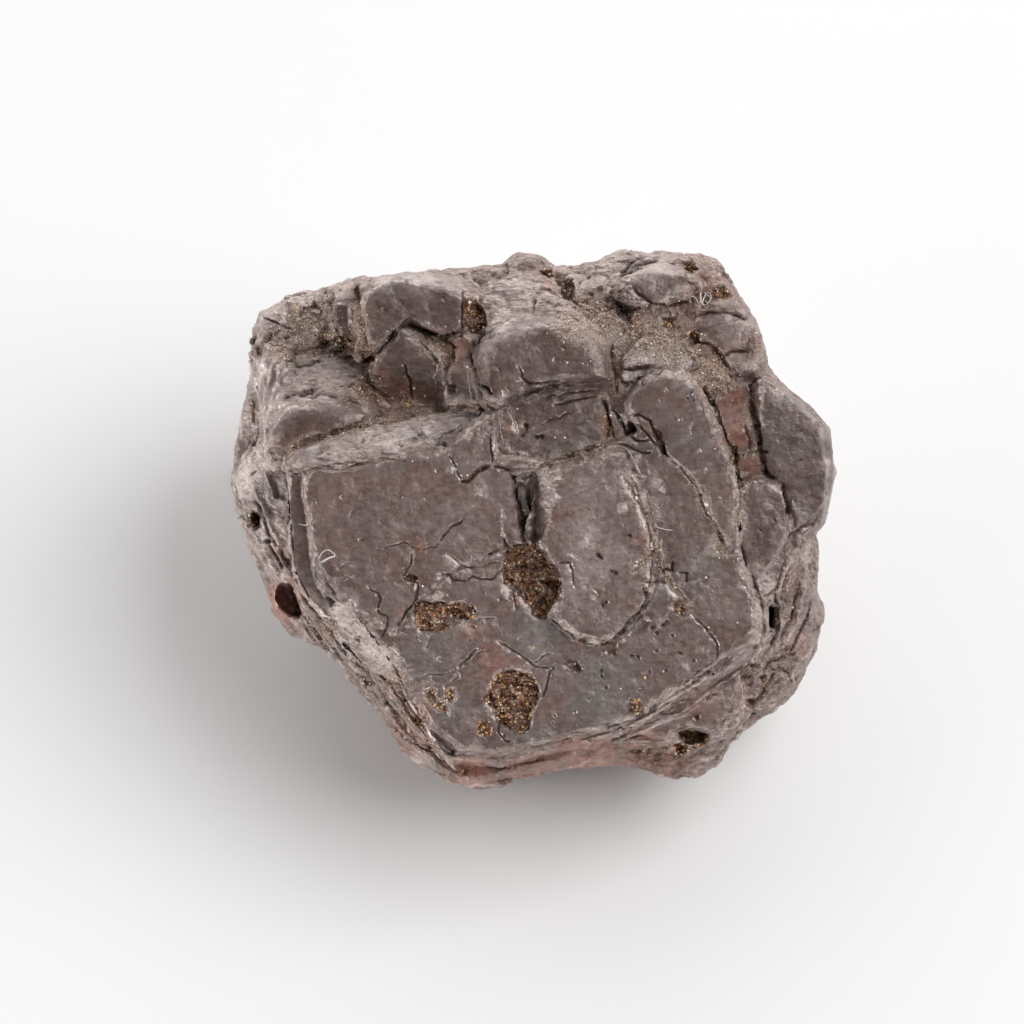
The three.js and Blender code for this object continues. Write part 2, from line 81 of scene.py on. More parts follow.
# --------------------------------------------------------------------------------------------------
# The stone's body. One solid nodule of goethite and hematite that took the shape of the pyrite
# crystals it replaced. Its corners are worn round, so the solid gets one fine, even skin.
SKIN_STEP = 0.14 * MM
WORN_ROUNDS = 4
WELD = 0.001 * MM

bpy.ops.object.select_all(action="DESELECT")
stone = placed("worn_stone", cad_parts["stone"].data.copy())
stone.select_set(True)
bpy.context.view_layer.objects.active = stone
bpy.ops.object.mode_set(mode="EDIT")
bpy.ops.mesh.select_all(action="SELECT")
bpy.ops.mesh.remove_doubles(threshold=WELD)
bpy.ops.object.mode_set(mode="OBJECT")

remesh = stone.modifiers.new("fine skin", "REMESH")
remesh.mode = "VOXEL"
remesh.voxel_size = SKIN_STEP
bpy.ops.object.modifier_apply(modifier=remesh.name)
wear = stone.modifiers.new("wear", "SMOOTH")
wear.factor = 0.5
wear.iterations = WORN_ROUNDS
bpy.ops.object.modifier_apply(modifier=wear.name)


def read(items, name):
    """One row of three numbers for each of a mesh's points or normals."""
    flat = np.empty(len(items) * 3, np.float32)
    items.foreach_get(name, flat)
    return flat.reshape(-1, 3).astype(np.float64)


def on_face(points):
    """Where a point, in millimetres, lies on the broad face, as seen square to that face."""
    away = points - FACE_AT
    u = away @ FACE_U
    v = away @ FACE_V
    nearer = CAMERA_DISTANCE / (CAMERA_DISTANCE - away @ FACE_W)
    return CAMERA_AIM + (np.stack([u, v], axis=1) - CAMERA_AIM) * nearer[:, None]


# --------------------------------------------------------------------------------------------------
# The stone's relief. Thin plates have flaked off its crystals, joints between them have opened into
# cracks, soft ore has weathered out into pits, and wind and sand have dimpled what was left.
CRACKS = []
RIDGES = []
PLATES = []
FACETS = []
FILLS = []
PITS = []
DENTS = []
STREAKS = []


def crack(line, wide, deep, step=0.0, fill=0.0):
    """An open joint. step lifts its left side above its right, fill is how much sand it holds."""
    CRACKS.append((np.array(line), wide, deep, step, fill))


def ridge(line, wide, high):
    """A raised edge of a broken layer."""
    RIDGES.append((np.array(line), wide, high))


def plate(outline, rise, edge=0.12):
    """A thin layer that stands out by rise, or has flaked off where rise is below nothing."""
    PLATES.append((np.array(outline), rise, edge))


def facet(outline, level, lean, edge=0.15, share=0.85, gloss=1.0):
    """A flat cleavage face at this level, rising by lean for each millimetre along u and v."""
    FACETS.append((np.array(outline), level, np.array(lean), edge, share, gloss))


def fill_in(outline, level, lean):
    """Soft ore that stands up to this level in a deep gap of the stone."""
    FILLS.append((np.array(outline), level, np.array(lean)))


def pit(outline, deep, lumps=0.4, rust=1.0):
    """A weathered hole with a rough floor of small crystals."""
    PITS.append((np.array(outline), deep, lumps, rust))


def dents(deep, wide, *places):
    """Small pores of one size."""
    DENTS.extend((np.array(place), wide, deep) for place in places)


def streaks(outline, way, apart, high):
    """Parallel growth lines across a crystal face, along way in degrees."""
    STREAKS.append((np.array(outline), math.radians(way), apart, high))


# The left block: scalloped layers along its lower edge.
crack(
    ((-6.7, -0.3), (-7.6, -1.4), (-8.8, -1.6), (-10, -1), (-11, -1.3), (-12.2, -1.4)),
    0.2, 0.16, step=0.06,
)
crack(((-9.4, -1.7), (-9.5, -2.5), (-10, -3.4), (-10.2, -3.8)), 0.26, 0.24, fill=0.3)
crack(
    ((-9, -4.2), (-9, -5.2), (-9.5, -6.1), (-10, -6.7), (-10.4, -7.4), (-10.7, -8.2)),
    0.36, 0.34, step=-0.1,
)
pit(((-10.2, -3.6), (-9.6, -3.4), (-9, -3.7), (-9, -4.3), (-9.5, -4.2), (-10.1, -4)), 0.45, rust=0.3)
crack(
    ((-13.1, -4.5), (-12.2, -5), (-12, -5.6), (-12.2, -6.3), (-11.4, -7), (-11.4, -7.7), (-11.8, -8.4),
     (-12.2, -8.8)),
    0.26, 0.26, step=-0.08,
)
crack(((-15.4, -3.1), (-14.5, -2.6), (-13.8, -2.9)), 0.18, 0.12)
crack(((-15.4, -3.7), (-14.6, -3.6), (-13.7, -3.7)), 0.16, 0.08)
crack(((-15.3, -4.2), (-14.2, -4)), 0.14, 0.08)
crack(((-5.3, 1.2), (-5.6, 0.6), (-6.2, 0.3), (-6.6, -0.2), (-7.2, -0.9)), 0.26, 0.26)
crack(((-3.2, 9.4), (-3, 8.2), (-3.2, 7), (-3, 6), (-3, 5.1)), 0.3, 0.3, step=0.15)
crack(((-6.5, 6.1), (-6, 5.3), (-5.8, 4.5), (-5.5, 3.8)), 0.18, 0.2)
crack(((-5.6, 3.8), (-4.9, 3.9), (-4.6, 4.3), (-4.1, 4.8), (-3, 5.1)), 0.5, 0.55, fill=0.1)
crack(((-3, 5.1), (-2.2, 5), (-1.5, 4.5)), 0.3, 0.3)
crack(
    ((-19.2, 6.3), (-18, 7.1), (-16, 7.6), (-14.4, 8.2), (-12.8, 8.5), (-11.2, 8.8), (-8.8, 9.3),
     (-6.4, 9.7), (-4, 9.9)),
    0.7, 0.45, fill=1.0,
)
crack(
    ((-18.2, 4.8), (-16.8, 5), (-14.8, 5.4), (-12.8, 5.4), (-11.8, 5.8), (-10.6, 5.5), (-9.6, 6)),
    0.2, 0.12, step=0.08, fill=0.2,
)
crack(((-7.8, 7.1), (-6.4, 7.9), (-4.8, 8.7), (-3.4, 9.5)), 0.16, 0.12)
dents(0.3, 0.5, (-7.4, 6.9), (-6.9, 6.9))
dents(
    0.1, 0.35, (-15, 2.6), (-12, 0.8), (-8.5, 2.4), (-14.3, 1.3), (-13.6, -0.8), (-7.4, 4.8),
    (-10.8, 1.2),
)
dents(0.12, 0.4, (-20.4, 6.2), (-20.2, 5.7))
streaks(((-18.4, 13.2), (-15.2, 13.4), (-14.8, 11.6), (-18.4, 11)), 8, 0.35, 0.03)
streaks(
    ((-19, 6.4), (-16.8, 7.5), (-13.6, 8.3), (-9.6, 9.1), (-6.4, 10), (-3.2, 10.2), (-3.6, 9.1),
     (-6, 7.7), (-8.8, 6.7), (-12, 6.2), (-15.6, 5.8), (-18.4, 5.5)),
    11, 0.3, 0.045,
)
streaks(
    ((-19, 6.4), (-16.8, 7.5), (-13.6, 8.3), (-9.6, 9.1), (-6.4, 10), (-3.2, 10.2), (-3.6, 9.1),
     (-6, 7.7), (-8.8, 6.7), (-12, 6.2), (-15.6, 5.8), (-18.4, 5.5)),
    24, 0.55, 0.04,
)

# The layers below the left block, towards the pits.
crack(((-6.8, -1.8), (-6, -2.4), (-5.2, -3), (-4, -3), (-2.6, -2.6), (-2.1, -2.6)), 0.22, 0.16, step=0.08)
crack(
    ((-7.4, -3.4), (-6.6, -3.6), (-6.2, -4), (-5.3, -4.1), (-4.6, -3.7), (-3.9, -4), (-2.9, -3.9),
     (-2.5, -3.4), (-2.1, -2.9)),
    0.28, 0.24, step=0.06,
)
crack(((-4.4, -7), (-3, -7.1), (-2.4, -7)), 0.14, 0.1)
crack(((-4.2, -9.4), (-4.8, -10), (-5.2, -10.4), (-5.8, -11.2)), 0.22, 0.18, step=0.08)
crack(((-3.7, -9.4), (-4.4, -10.2), (-5.4, -11)), 0.16, 0.12)
crack(((-5.8, -11.2), (-6.4, -11.4), (-8, -11.6), (-9.6, -11.8)), 0.2, 0.12)
crack(((-5.8, -11.3), (-5.8, -11.8), (-6.2, -12.2), (-6.9, -12.6)), 0.2, 0.14)
crack(((-2.9, -8.8), (-2.4, -9), (-2, -9.2), (-0.8, -10), (0.2, -10.8), (1.2, -11), (2.1, -11)), 0.22, 0.2)
crack(((0.2, -10.6), (0.8, -10.4), (1.3, -10), (1.8, -9.8)), 0.2, 0.14)
crack(((2.1, -10.7), (1.6, -11.4), (1.4, -12.4), (1, -13.6)), 0.24, 0.24, step=0.05)
crack(((-1.3, -4.8), (-1.2, -5.6), (-1.1, -6.5)), 0.2, 0.2)
crack(((-7.5, -8.2), (-8, -8.8), (-8.4, -9.5)), 0.4, 0.14, fill=0.2)
crack(((-2.6, -15), (-2.5, -15.8), (-2.4, -16.5), (-1.9, -17), (-1.4, -16.9)), 0.24, 0.2)
crack(((-10.4, -4), (-11, -4.8), (-11.5, -5.3)), 0.14, 0.08)
pit(((2.6, -10.7), (3.2, -11), (3.7, -11.4), (4.2, -11.2), (3.8, -10.5), (3.2, -10.3)), 0.4, rust=0.2)
dents(
    0.14, 0.4, (-4.8, -8.8), (-4.5, -7.8), (-3.5, -9.6), (-7.2, -10.4), (-2, -16.4), (1.8, -15.4),
    (2.1, -14.9),
)
dents(
    0.1, 0.3, (-8.8, -8.8), (-8, -4.8), (-6.4, -5.2), (-3.6, -5.2), (-2.4, -5.6), (-6.6, -13.6),
    (-0.8, -8.8),
)

# The slot: its right wall slopes in, its head is a short ramp, and a grey block stands at its left.
fill_in(
    ((-2.9, 5.4), (1.8, 5.4), (2.1, 2.4), (1.2, -0.4), (0, -2.1), (-1.4, -1.8), (-2.4, 0.8)),
    -0.85, (0, 0),
)
fill_in(
    ((-2.6, 4.8), (-1.5, 4.5), (-1.2, 2.8), (-0.9, 1.2), (-0.6, -0.4), (-0.6, -1.7), (-1.6, -1.8),
     (-2.2, 0), (-2.5, 2.4)),
    0.3, (0, 0),
)
fill_in(((-1.4, 5.1), (0.3, 5.1), (-0.1, 3.5), (-1, 3.4)), -0.42, (0, 0.6))
fill_in(
    ((-0.2, 4), (0.5, 5), (1.4, 5.3), (1.9, 4), (1.9, 2.4), (1.6, 0.8), (0.9, -0.6), (0.3, -1.4),
     (0.1, -0.8), (0.2, 1.2), (0, 2.6)),
    -0.1, (0.75, 0),
)
fill_in(
    ((-1, 3.4), (-0.5, 3.5), (-0.2, 2.4), (0.1, 1.3), (-0.2, 1), (-0.6, 1.4), (-0.9, 2.4)),
    -0.35, (0.1, 0.05),
)
facet(
    ((-2.6, 4.8), (-1.5, 4.5), (-1.2, 2.8), (-0.9, 1.2), (-0.6, -0.4), (-0.6, -1.7), (-1.6, -1.8),
     (-2.2, 0), (-2.5, 2.4)),
    0.3, (0, 0), edge=0.04, share=1.0,
)
facet(
    ((-0.2, 3.8), (0.5, 4.8), (1.4, 5.1), (1.9, 4), (1.9, 2.4), (1.6, 0.8), (0.9, -0.6), (0.3, -1.4),
     (0.1, -0.8), (0.2, 1.2), (0, 2.6)),
    -0.1, (0.75, 0), edge=0.12, share=1.0, gloss=0.8,
)

# The middle plate: a round inner layer on a wider one.
plate(
    ((0.1, 2.4), (0.9, 2.4), (1.8, 2.8), (2.4, 2.6), (3.6, 2.9), (4.8, 3.5), (6.4, 4), (7.3, 4.2), (8, 3),
     (8.8, 1.4), (9.4, 0), (9.6, -1.8), (9.4, -3.6), (9.3, -5.2), (8.6, -6.6), (7.2, -8.2), (6, -9),
     (4.8, -9), (3.6, -8.4), (2.4, -7.6), (2.5, -5.6), (2.6, -4), (1.8, -2.6), (1.2, -1.3), (0.2, 0)),
    0.12, edge=0.15,
)
crack(((6.6, 7.2), (5.9, 6.8), (5, 6.6), (4, 6.2), (2.4, 5.7), (1.2, 5.2), (0.5, 4.8)), 0.55, 0.4, fill=0.8)
crack(((1.8, -7.2), (2.6, -7.8), (3.4, -8.4), (4, -8.9), (4.8, -9.1), (6, -9.2), (6.6, -8.9)), 0.3, 0.24)
crack(((6.6, -8.9), (7.2, -8.3), (8, -7.4), (8.6, -6.7), (9.2, -5.9), (9.3, -5.1), (9, -4.5)), 0.55, 0.5)
pit(((6.1, -9.2), (7, -9), (7, -10.1), (6.3, -9.9)), 0.25, lumps=0.2, rust=0.3)
plate(((8, -8.2), (8.9, -6.6), (9.6, -7.4), (8.8, -8.3)), -0.25)
crack(
    ((7.6, 4.1), (8.1, 3.3), (8.5, 2.4), (9.2, 1.2), (9.4, 0.6), (9.7, -0.8), (10, -1.4)),
    0.24, 0.14, fill=0.9,
)
crack(((10, -1.4), (9.6, -2.1), (9, -2.6), (8.2, -3.4)), 0.3, 0.16, fill=0.8)
crack(((10, -2.4), (10.6, -3.4), (11.2, -4.2), (12, -5), (12.6, -5.9)), 0.3, 0.18, fill=1.0)
crack(((2.1, -2.6), (3.2, -2.7), (3.4, -3.2), (3.4, -4), (3.6, -4.6)), 0.2, 0.2)
crack(((2.9, -1.8), (4.3, -2.5)), 0.14, 0.08)
plate(
    ((9.4, -4.6), (10, -4.2), (10.9, -4.4), (11.7, -5.4), (11.4, -6.2), (10.7, -7), (10.1, -8.2),
     (9.3, -7.6), (9, -6.8), (9.4, -5.8)),
    0.12,
)
crack(((5, -4.6), (5.6, -5.2), (5.4, -5.6)), 0.12, 0.08)
dents(0.25, 0.5, (5.6, -2.2), (5.4, -2))
dents(0.22, 0.4, (6.6, -3.3), (6.9, -3.4), (5.9, -6.1), (6.1, -5.8), (8, -0.4))
dents(0.12, 0.3, (5.8, -1.4), (3.6, -6.6), (4, -6.4), (7.7, -7), (2.4, -5.6), (4.8, -2.4))
dents(
    0.2, 0.4, (8.2, -10), (8.6, -10.1), (10.2, -9.7), (9.6, -11.4), (10.9, -11.3), (5.8, -11.3),
    (5.8, -11.7),
)
dents(
    0.2, 0.45, (12, -9.9), (6.1, -12.6), (9.8, -7.8), (10.1, -8.3), (11, -7.3), (10.7, -7.6),
    (11.4, -8.5),
)
dents(
    0.12, 0.35, (8, -13.6), (4.8, -13.6), (7.2, -12.8), (3.6, -14.6), (8.8, -12.8), (4.4, -8.8),
    (13.6, -8.8),
)
crack(((8.8, -4.2), (9.4, -4.2), (10.4, -4.1), (11, -4.4)), 0.2, 0.14)
crack(((10.4, -3.3), (10.9, -3.1), (11.4, -3.3), (11.4, -2.4)), 0.26, 0.3)
crack(((11.8, -3.4), (12.6, -3.5), (12.5, -4.3)), 0.26, 0.26)
crack(((12.6, -4.2), (14.1, -4.2)), 0.14, 0.08)
streaks(((4.8, -2.4), (8.8, -2.4), (13.6, -13.6), (4.8, -15.2), (2.4, -10.4)), 3, 0.5, 0.012)

# The long plate on the right: a tangle of cracks at its shoulder and a seam down its left side.
crack(((6.7, 9.8), (7.2, 8.8), (7.7, 7.9), (8.4, 7.1), (9.6, 7.2)), 0.34, 0.4)
crack(((8, 9.1), (8.8, 9.3), (9.6, 8.6), (10.2, 7.4), (11, 5.8)), 0.42, 0.4)
crack(((7, 7), (8, 6.6), (8.8, 6.2), (9.8, 6.2)), 0.3, 0.3)
crack(((8.8, 8.5), (9.3, 7.7), (10.1, 6.7)), 0.3, 0.3)
pit(((9.8, 8.4), (10.5, 7.8), (11.1, 5.9), (10.6, 6), (10, 7)), 0.4, rust=0.2)
crack(((11, 5.8), (12, 5), (12.8, 4), (13.4, 3.1)), 0.18, 0.14, fill=0.3)
crack(((13.4, 3.4), (13.7, 2.4), (14.2, 1.4), (14.9, 0.3), (15.5, -1)), 0.26, 0.2, fill=0.9)
crack(((5.8, 10.6), (6.1, 9.4), (6.4, 8.4), (6.1, 7.4)), 0.7, 0.7, fill=0.7)
crack(((13.8, 11.6), (14.2, 10.8), (14.6, 9.8)), 0.5, 0.5)
crack(((13, 8.8), (13, 6.8)), 0.1, 0.05)
dents(0.1, 0.35, (10.4, 10.4), (12, 8.8), (13.6, 6.4), (12.8, 10.2), (15.2, 2.4), (14.1, 4.8), (10.8, 11.2))
dents(0.16, 0.5, (12.8, 11), (13.1, 10.4), (12.6, 10.6))

# The recess above the middle plate, cut by close growth lines.
streaks(((-0.8, 11), (5.6, 11.5), (6.1, 7.2), (0.8, 6), (-1.2, 8)), 14, 0.45, 0.04)
crack(((1.8, 10), (3.6, 10.4), (5.4, 10.8)), 0.24, 0.22)
crack(((0.8, 10.6), (2.8, 10.9), (5.6, 11.2)), 0.2, 0.16)
crack(((1.2, 8.6), (2.2, 9), (3.4, 9.4)), 0.26, 0.24)
crack(((5.6, 10.6), (6.2, 9.4), (6.8, 7.2)), 0.3, 0.3)
crack(((-0.8, 10.7), (0.4, 11), (1.6, 11.4), (3.2, 11.8)), 0.3, 0.26)
pit(((-0.8, 7.5), (-0.2, 8.5), (0, 8.2), (-0.5, 7.4)), 0.3, rust=0.2)
dents(0.3, 0.5, (0.5, 7.4), (0.9, 7.5), (-0.3, 8.3))
plate(((-2.4, 8.2), (-1.4, 8.4), (-1.2, 7.7), (-2.2, 7.4)), 0.1)

# The upper block: a jointed lower edge.
crack(((-0.9, 13.3), (-0.6, 12.6), (-0.6, 12.1), (0, 11.7), (1.2, 11.8), (2.4, 11.9)), 0.26, 0.28)
crack(((-4.8, 14), (-4.5, 13), (-4.2, 11.6), (-3.8, 10.4)), 0.34, 0.3)
crack(((-4, 11.7), (-3.5, 11.2), (-3, 10.7)), 0.5, 0.5)
crack(((6.6, 14.8), (6.7, 13.4), (6.9, 12), (7, 10.8)), 0.6, 0.5, fill=0.5)
crack(((2.4, 14.8), (2.9, 14.2)), 0.1, 0.08)
dents(0.08, 0.3, (0.8, 14.4), (2, 13.6), (0, 15.2), (4, 14.4), (4.8, 13.2), (-2.4, 12.8), (-1.6, 14.8))
plate(((7.4, 12.6), (10, 13), (8.9, 11.6), (7.8, 11.4)), 0.25)
crack(((7.4, 12.8), (8.8, 13), (10.1, 13)), 0.4, 0.4)

# The left shoulder, its ribs and the lumps above it.
crack(((-15.2, 11.4), (-14.6, 11.4), (-13.9, 11.7)), 0.2, 0.2)
crack(((-18.4, 10.6), (-16.8, 10.9), (-14.8, 10.6), (-13.4, 9.9)), 0.4, 0.25)
crack(((-20, 10.4), (-18.4, 11), (-16.4, 11.4)), 0.3, 0.2)
crack(((-19.6, 13.6), (-18.4, 13.1), (-17, 13.4), (-16, 13.4)), 0.4, 0.3)
crack(((-17, 14.8), (-15.8, 15), (-14.8, 15.2), (-14.2, 14.7)), 0.7, 0.6, fill=0.4)
pit(((-15.7, 15.4), (-14.7, 15.6), (-13.9, 15.2), (-14.1, 14.3), (-15.2, 14.2)), 0.6, rust=0.4)
pit(((-13.6, 14.4), (-12.6, 14.4), (-12.5, 13.4), (-13.4, 13.4)), 0.6, rust=0.4)
crack(((-13.8, 19.5), (-13.8, 18.4), (-13.6, 16.8), (-13.4, 15.6), (-13.1, 14.4)), 0.8, 0.5, fill=1.0)
crack(((-15.8, 19), (-16, 18), (-15.8, 16.8), (-15.2, 15.5)), 0.5, 0.4, fill=0.4)
crack(((-21.4, 17), (-20.6, 16.6), (-19.6, 16.3), (-19, 16)), 0.4, 0.3)
crack(((-21.2, 14.8), (-20.8, 15.6), (-19.8, 16)), 0.4, 0.3, fill=0.6)
plate(
    ((-22.2, 15.8), (-21.4, 17), (-20.4, 17.4), (-19.3, 17.1), (-19.7, 16.4), (-20.8, 16), (-21.3, 14.8),
     (-22, 14.6)),
    0.35,
)
plate(((-15.6, 18), (-14.2, 18.2), (-14.1, 16.4), (-14.4, 15.4), (-15.2, 15.6), (-15.7, 16.8)), 0.3)
ridge(((-22.4, 15.2), (-22.4, 13.8), (-22.1, 12.4), (-21.7, 10.4), (-21.3, 8.8), (-21.2, 7.2)), 0.16, 0.12)
ridge(((-21.3, 14.4), (-21.4, 12.8), (-21.2, 10.8), (-21, 8.8), (-21.1, 7.2)), 0.16, 0.12)
ridge(((-20.2, 14.2), (-20.1, 12.8), (-20.1, 11.2), (-20.3, 9.8), (-20.7, 8.4)), 0.16, 0.12)
ridge(
    ((-20, 10.6), (-20.3, 9.8), (-20.6, 8.8), (-21.1, 7.8), (-21.2, 6.7), (-20.8, 5.6), (-20.3, 4.6),
     (-19.7, 3.4), (-19.4, 2.8)),
    0.16, 0.10,
)
ridge(((-23.2, 10.4), (-23.1, 8.8), (-23, 7.2)), 0.16, 0.08)
ridge(((-18.4, 10.7), (-17, 11.2), (-15.5, 11.5), (-14.2, 11.7)), 0.16, 0.06)
ridge(((-20.3, 9.4), (-19.7, 10.1), (-18.6, 10.4), (-17.4, 10.5)), 0.14, 0.06)
ridge(((-20.2, 8.8), (-19.5, 9.5), (-18.6, 9.8), (-17.6, 9.7)), 0.14, 0.05)
crack(((-22.2, 10.4), (-22.1, 9.4), (-22, 8.6)), 0.35, 0.25, fill=0.8)
ridge(((-15.4, 14.6), (-17.4, 14.3), (-19, 13.4), (-20.2, 11.8), (-20.8, 9.8), (-21.3, 7.5)), 0.3, 0.14)
ridge(((-14.6, 13.5), (-16.6, 13.3), (-18.2, 12.6), (-19.4, 11.2), (-20.2, 9.8)), 0.3, 0.12)
ridge(((-14.2, 12.6), (-15.8, 12.3), (-17.3, 11.8), (-18.6, 10.9)), 0.26, 0.10)
ridge(((-18.2, 15.4), (-19.7, 14.4), (-20.6, 13), (-21.1, 11), (-21.4, 9)), 0.3, 0.14)
ridge(((-19.7, 15.7), (-20.8, 14.7), (-21.4, 13.1), (-21.8, 11)), 0.3, 0.12)
ridge(((-13.9, 11.7), (-14.9, 11.8), (-16, 11.7)), 0.24, 0.08)

# The hooded hollow at the top left, and the tooth in it.
facet(
    ((-13, 18.7), (-12, 19.5), (-10.4, 19.8), (-8.4, 19.4), (-6.8, 18.7), (-5.8, 18.1), (-5.9, 16.6),
     (-6.6, 15.8), (-8, 16.3), (-9.8, 17), (-11, 16.5), (-12.2, 15.2), (-13.1, 14.8), (-13.4, 16.4)),
    -3.15, (0, -0.12), edge=0.15, share=0.7,
)
crack(((-8, 15.8), (-7.4, 15.4), (-6.8, 15.4), (-6.2, 15.5), (-5.7, 15.9)), 0.4, 0.4)
crack(
    ((-10.8, 15.9), (-11.6, 15), (-12.2, 14.2), (-13.1, 13.1), (-12.9, 12), (-12.7, 11.2)),
    0.4, 0.3, fill=0.5,
)
crack(((-10.2, 13.4), (-9.9, 12.6), (-9.6, 11.6), (-9.4, 10.4)), 0.3, 0.3)
pit(((-6.6, 11.6), (-5.9, 11.7), (-5.9, 11), (-6.5, 10.9)), 0.35, rust=0.3)
pit(
    ((-5.2, 18.4), (-4.5, 18.6), (-3.7, 17.6), (-3.5, 16.3), (-4.5, 15.8), (-5.2, 16.3)),
    0.5, lumps=0.5, rust=0.8,
)
crack(((-5.3, 19.2), (-5.4, 18), (-5.4, 16.4), (-5.6, 15.2)), 0.3, 0.3)
crack(((-4.4, 15.2), (-4.6, 14), (-4.5, 12.8)), 0.24, 0.2)
dents(0.1, 0.7, (-10.8, 19.2), (-10.3, 18.2), (-8, 17.8), (-6.8, 18.6), (-11.6, 17.6))
facet(
    ((-10.7, 16), (-9.8, 16.2), (-8.4, 15.7), (-6.8, 15.4), (-5.9, 14.8), (-5.9, 13.4), (-6.7, 12.6),
     (-7.5, 13.9), (-8.5, 14.9), (-9.6, 15.5)),
    -3.7, (-0.35, -0.4), gloss=0.3,
)
plate(((-2, 19.1), (-0.8, 19.4), (0.4, 19), (0, 17.7), (-1.4, 17.5)), 0.15)
crack(((-4, 14.8), (-3.2, 15.4), (-2, 15.9), (-0.4, 16.2)), 0.2, 0.12)

# The top right: caps, ribs and sandy slopes.
crack(((7, 19.8), (7.8, 20.6), (9.2, 21.3), (10.4, 21.8)), 0.5, 0.4)
crack(((7.2, 20.6), (8.2, 21.4), (9.2, 21.8)), 0.4, 0.3)
crack(((8, 19.6), (8.8, 18.8), (9.6, 18.2), (11, 17.9), (12.8, 18.2)), 0.4, 0.35)
streaks(((9.8, 18.4), (11, 18.4), (11.2, 17.3), (10.1, 17.4)), 70, 0.3, 0.08)
crack(((13.1, 16), (13.6, 15), (14.6, 14.6), (15.4, 13.6), (16, 12.6)), 0.6, 0.5, fill=0.4)
crack(((13.1, 17), (14.4, 17.4), (15.6, 17.4), (16.8, 17.1), (17.3, 16.8)), 0.35, 0.25)
crack(((15.4, 14), (16.4, 14.4), (17.6, 14.2)), 0.25, 0.2)
pit(((12.3, 21.4), (12.9, 21.5), (13.4, 21), (13, 20.3), (12.4, 20.5)), 0.5, rust=0.6)
pit(((14.6, 19.2), (15.4, 19.4), (16.1, 18.7), (15.5, 18.4), (14.6, 18.6)), 0.35, rust=0.8)
pit(((10.4, 17), (11.4, 17), (11.7, 16.2), (10.7, 16.2)), 0.4, rust=0.5)
pit(((12.6, 15.9), (13.3, 16), (13.7, 14.9), (13, 14.8)), 0.5, rust=0.4)
pit(((0.9, 20.8), (1.8, 21), (2.1, 20.3), (1.3, 20.2)), 0.4, rust=0.6)
pit(((2.4, 19.9), (3.4, 20.1), (3.6, 18.6), (2.7, 18.5)), 0.5, rust=0.6)
crack(((3.4, 18.4), (4.2, 17.8), (5, 17.4), (6.1, 17.5), (6.8, 18)), 0.35, 0.3, fill=0.3)
crack(((3.6, 19.2), (4.1, 19.9), (5, 20.2)), 0.3, 0.2)
dents(0.25, 0.6, (5.6, 19.2), (6.2, 18.4), (6, 17.8), (4.8, 18.8), (4.4, 18.2))
crack(((8.8, 11.4), (9.6, 12.1), (10.8, 12.8), (12, 12.6)), 0.24, 0.14)

# The red strip and the blocks at the right.
facet(
    ((18.7, 11.7), (19.7, 11.4), (20.8, 10.6), (22, 9.7), (23, 8.9), (23.3, 7.2), (23.7, 5), (23.7, 2.9),
     (23.1, 1.4), (22.1, 0.6), (21.4, 0.2), (20.9, 1.8), (20.4, 3.8), (19.2, 4.5), (18.6, 6), (18.4, 8.8)),
    -3.45, (-0.03, 0), edge=0.1,
)
facet(
    ((17.1, 3.7), (18.2, 3.8), (19.4, 3.7), (20.1, 3), (20.5, 1.6), (20.6, 0), (20.2, -1.2), (19.5, -2.4),
     (18.7, -3.5), (18.2, -4.2), (17.5, -3), (17, -1.4), (16.8, 0.2), (16.8, 2.4)),
    -3.05, (-0.03, -0.02), edge=0.1,
)
crack(
    ((14.8, 10.8), (14.6, 10.2), (15.2, 8.8), (15.6, 7.2), (16.4, 6), (17.2, 6), (18.2, 6.3)),
    0.45, 0.35, fill=0.5,
)
crack(((17.6, 10.8), (17.8, 9.6), (18.2, 8), (18.4, 6.2)), 0.5, 0.4, fill=0.8)
crack(((18.4, 6.2), (19.1, 6.2)), 0.3, 0.4)
crack(((17.2, 8.4), (17.4, 7.2), (17.6, 6.2)), 0.3, 0.25)
pit(((16, 6.6), (16.5, 6.8), (16.7, 5.8), (16.6, 5), (16.1, 5.4)), 0.6, rust=0.3)
crack(((20.2, 3.8), (20.3, 3), (20.6, 2.2), (20.6, 1.2)), 0.4, 0.45)
crack(((17.6, 10.8), (17.6, 11.6), (18.2, 12.2), (18.8, 12.2)), 0.3, 0.3)
facet(
    ((23.4, 8.5), (24.2, 7.8), (24.6, 6), (24.7, 4), (24.5, 2.4), (23.8, 1.1), (23.6, 1.4), (23.8, 3.2),
     (23.8, 4.8), (23.5, 6.6)),
    -4.9, (-1.0, 0), edge=0.1, share=0.5,
)
ridge(((23.2, 8.6), (23.5, 7.2), (23.8, 5.2), (23.8, 3.2), (23.5, 1.4)), 0.14, 0.04)
dents(0.12, 0.35, (20, 7.2), (21.6, 5.6), (22.4, 4.4), (21.2, 2.4), (19.6, 0.8), (18.4, 0), (21.6, 8))
crack(((20.6, -1.2), (20.8, -0.4), (21.6, 0.2), (22.6, 0.5), (23.4, 1.2)), 0.3, 0.2)

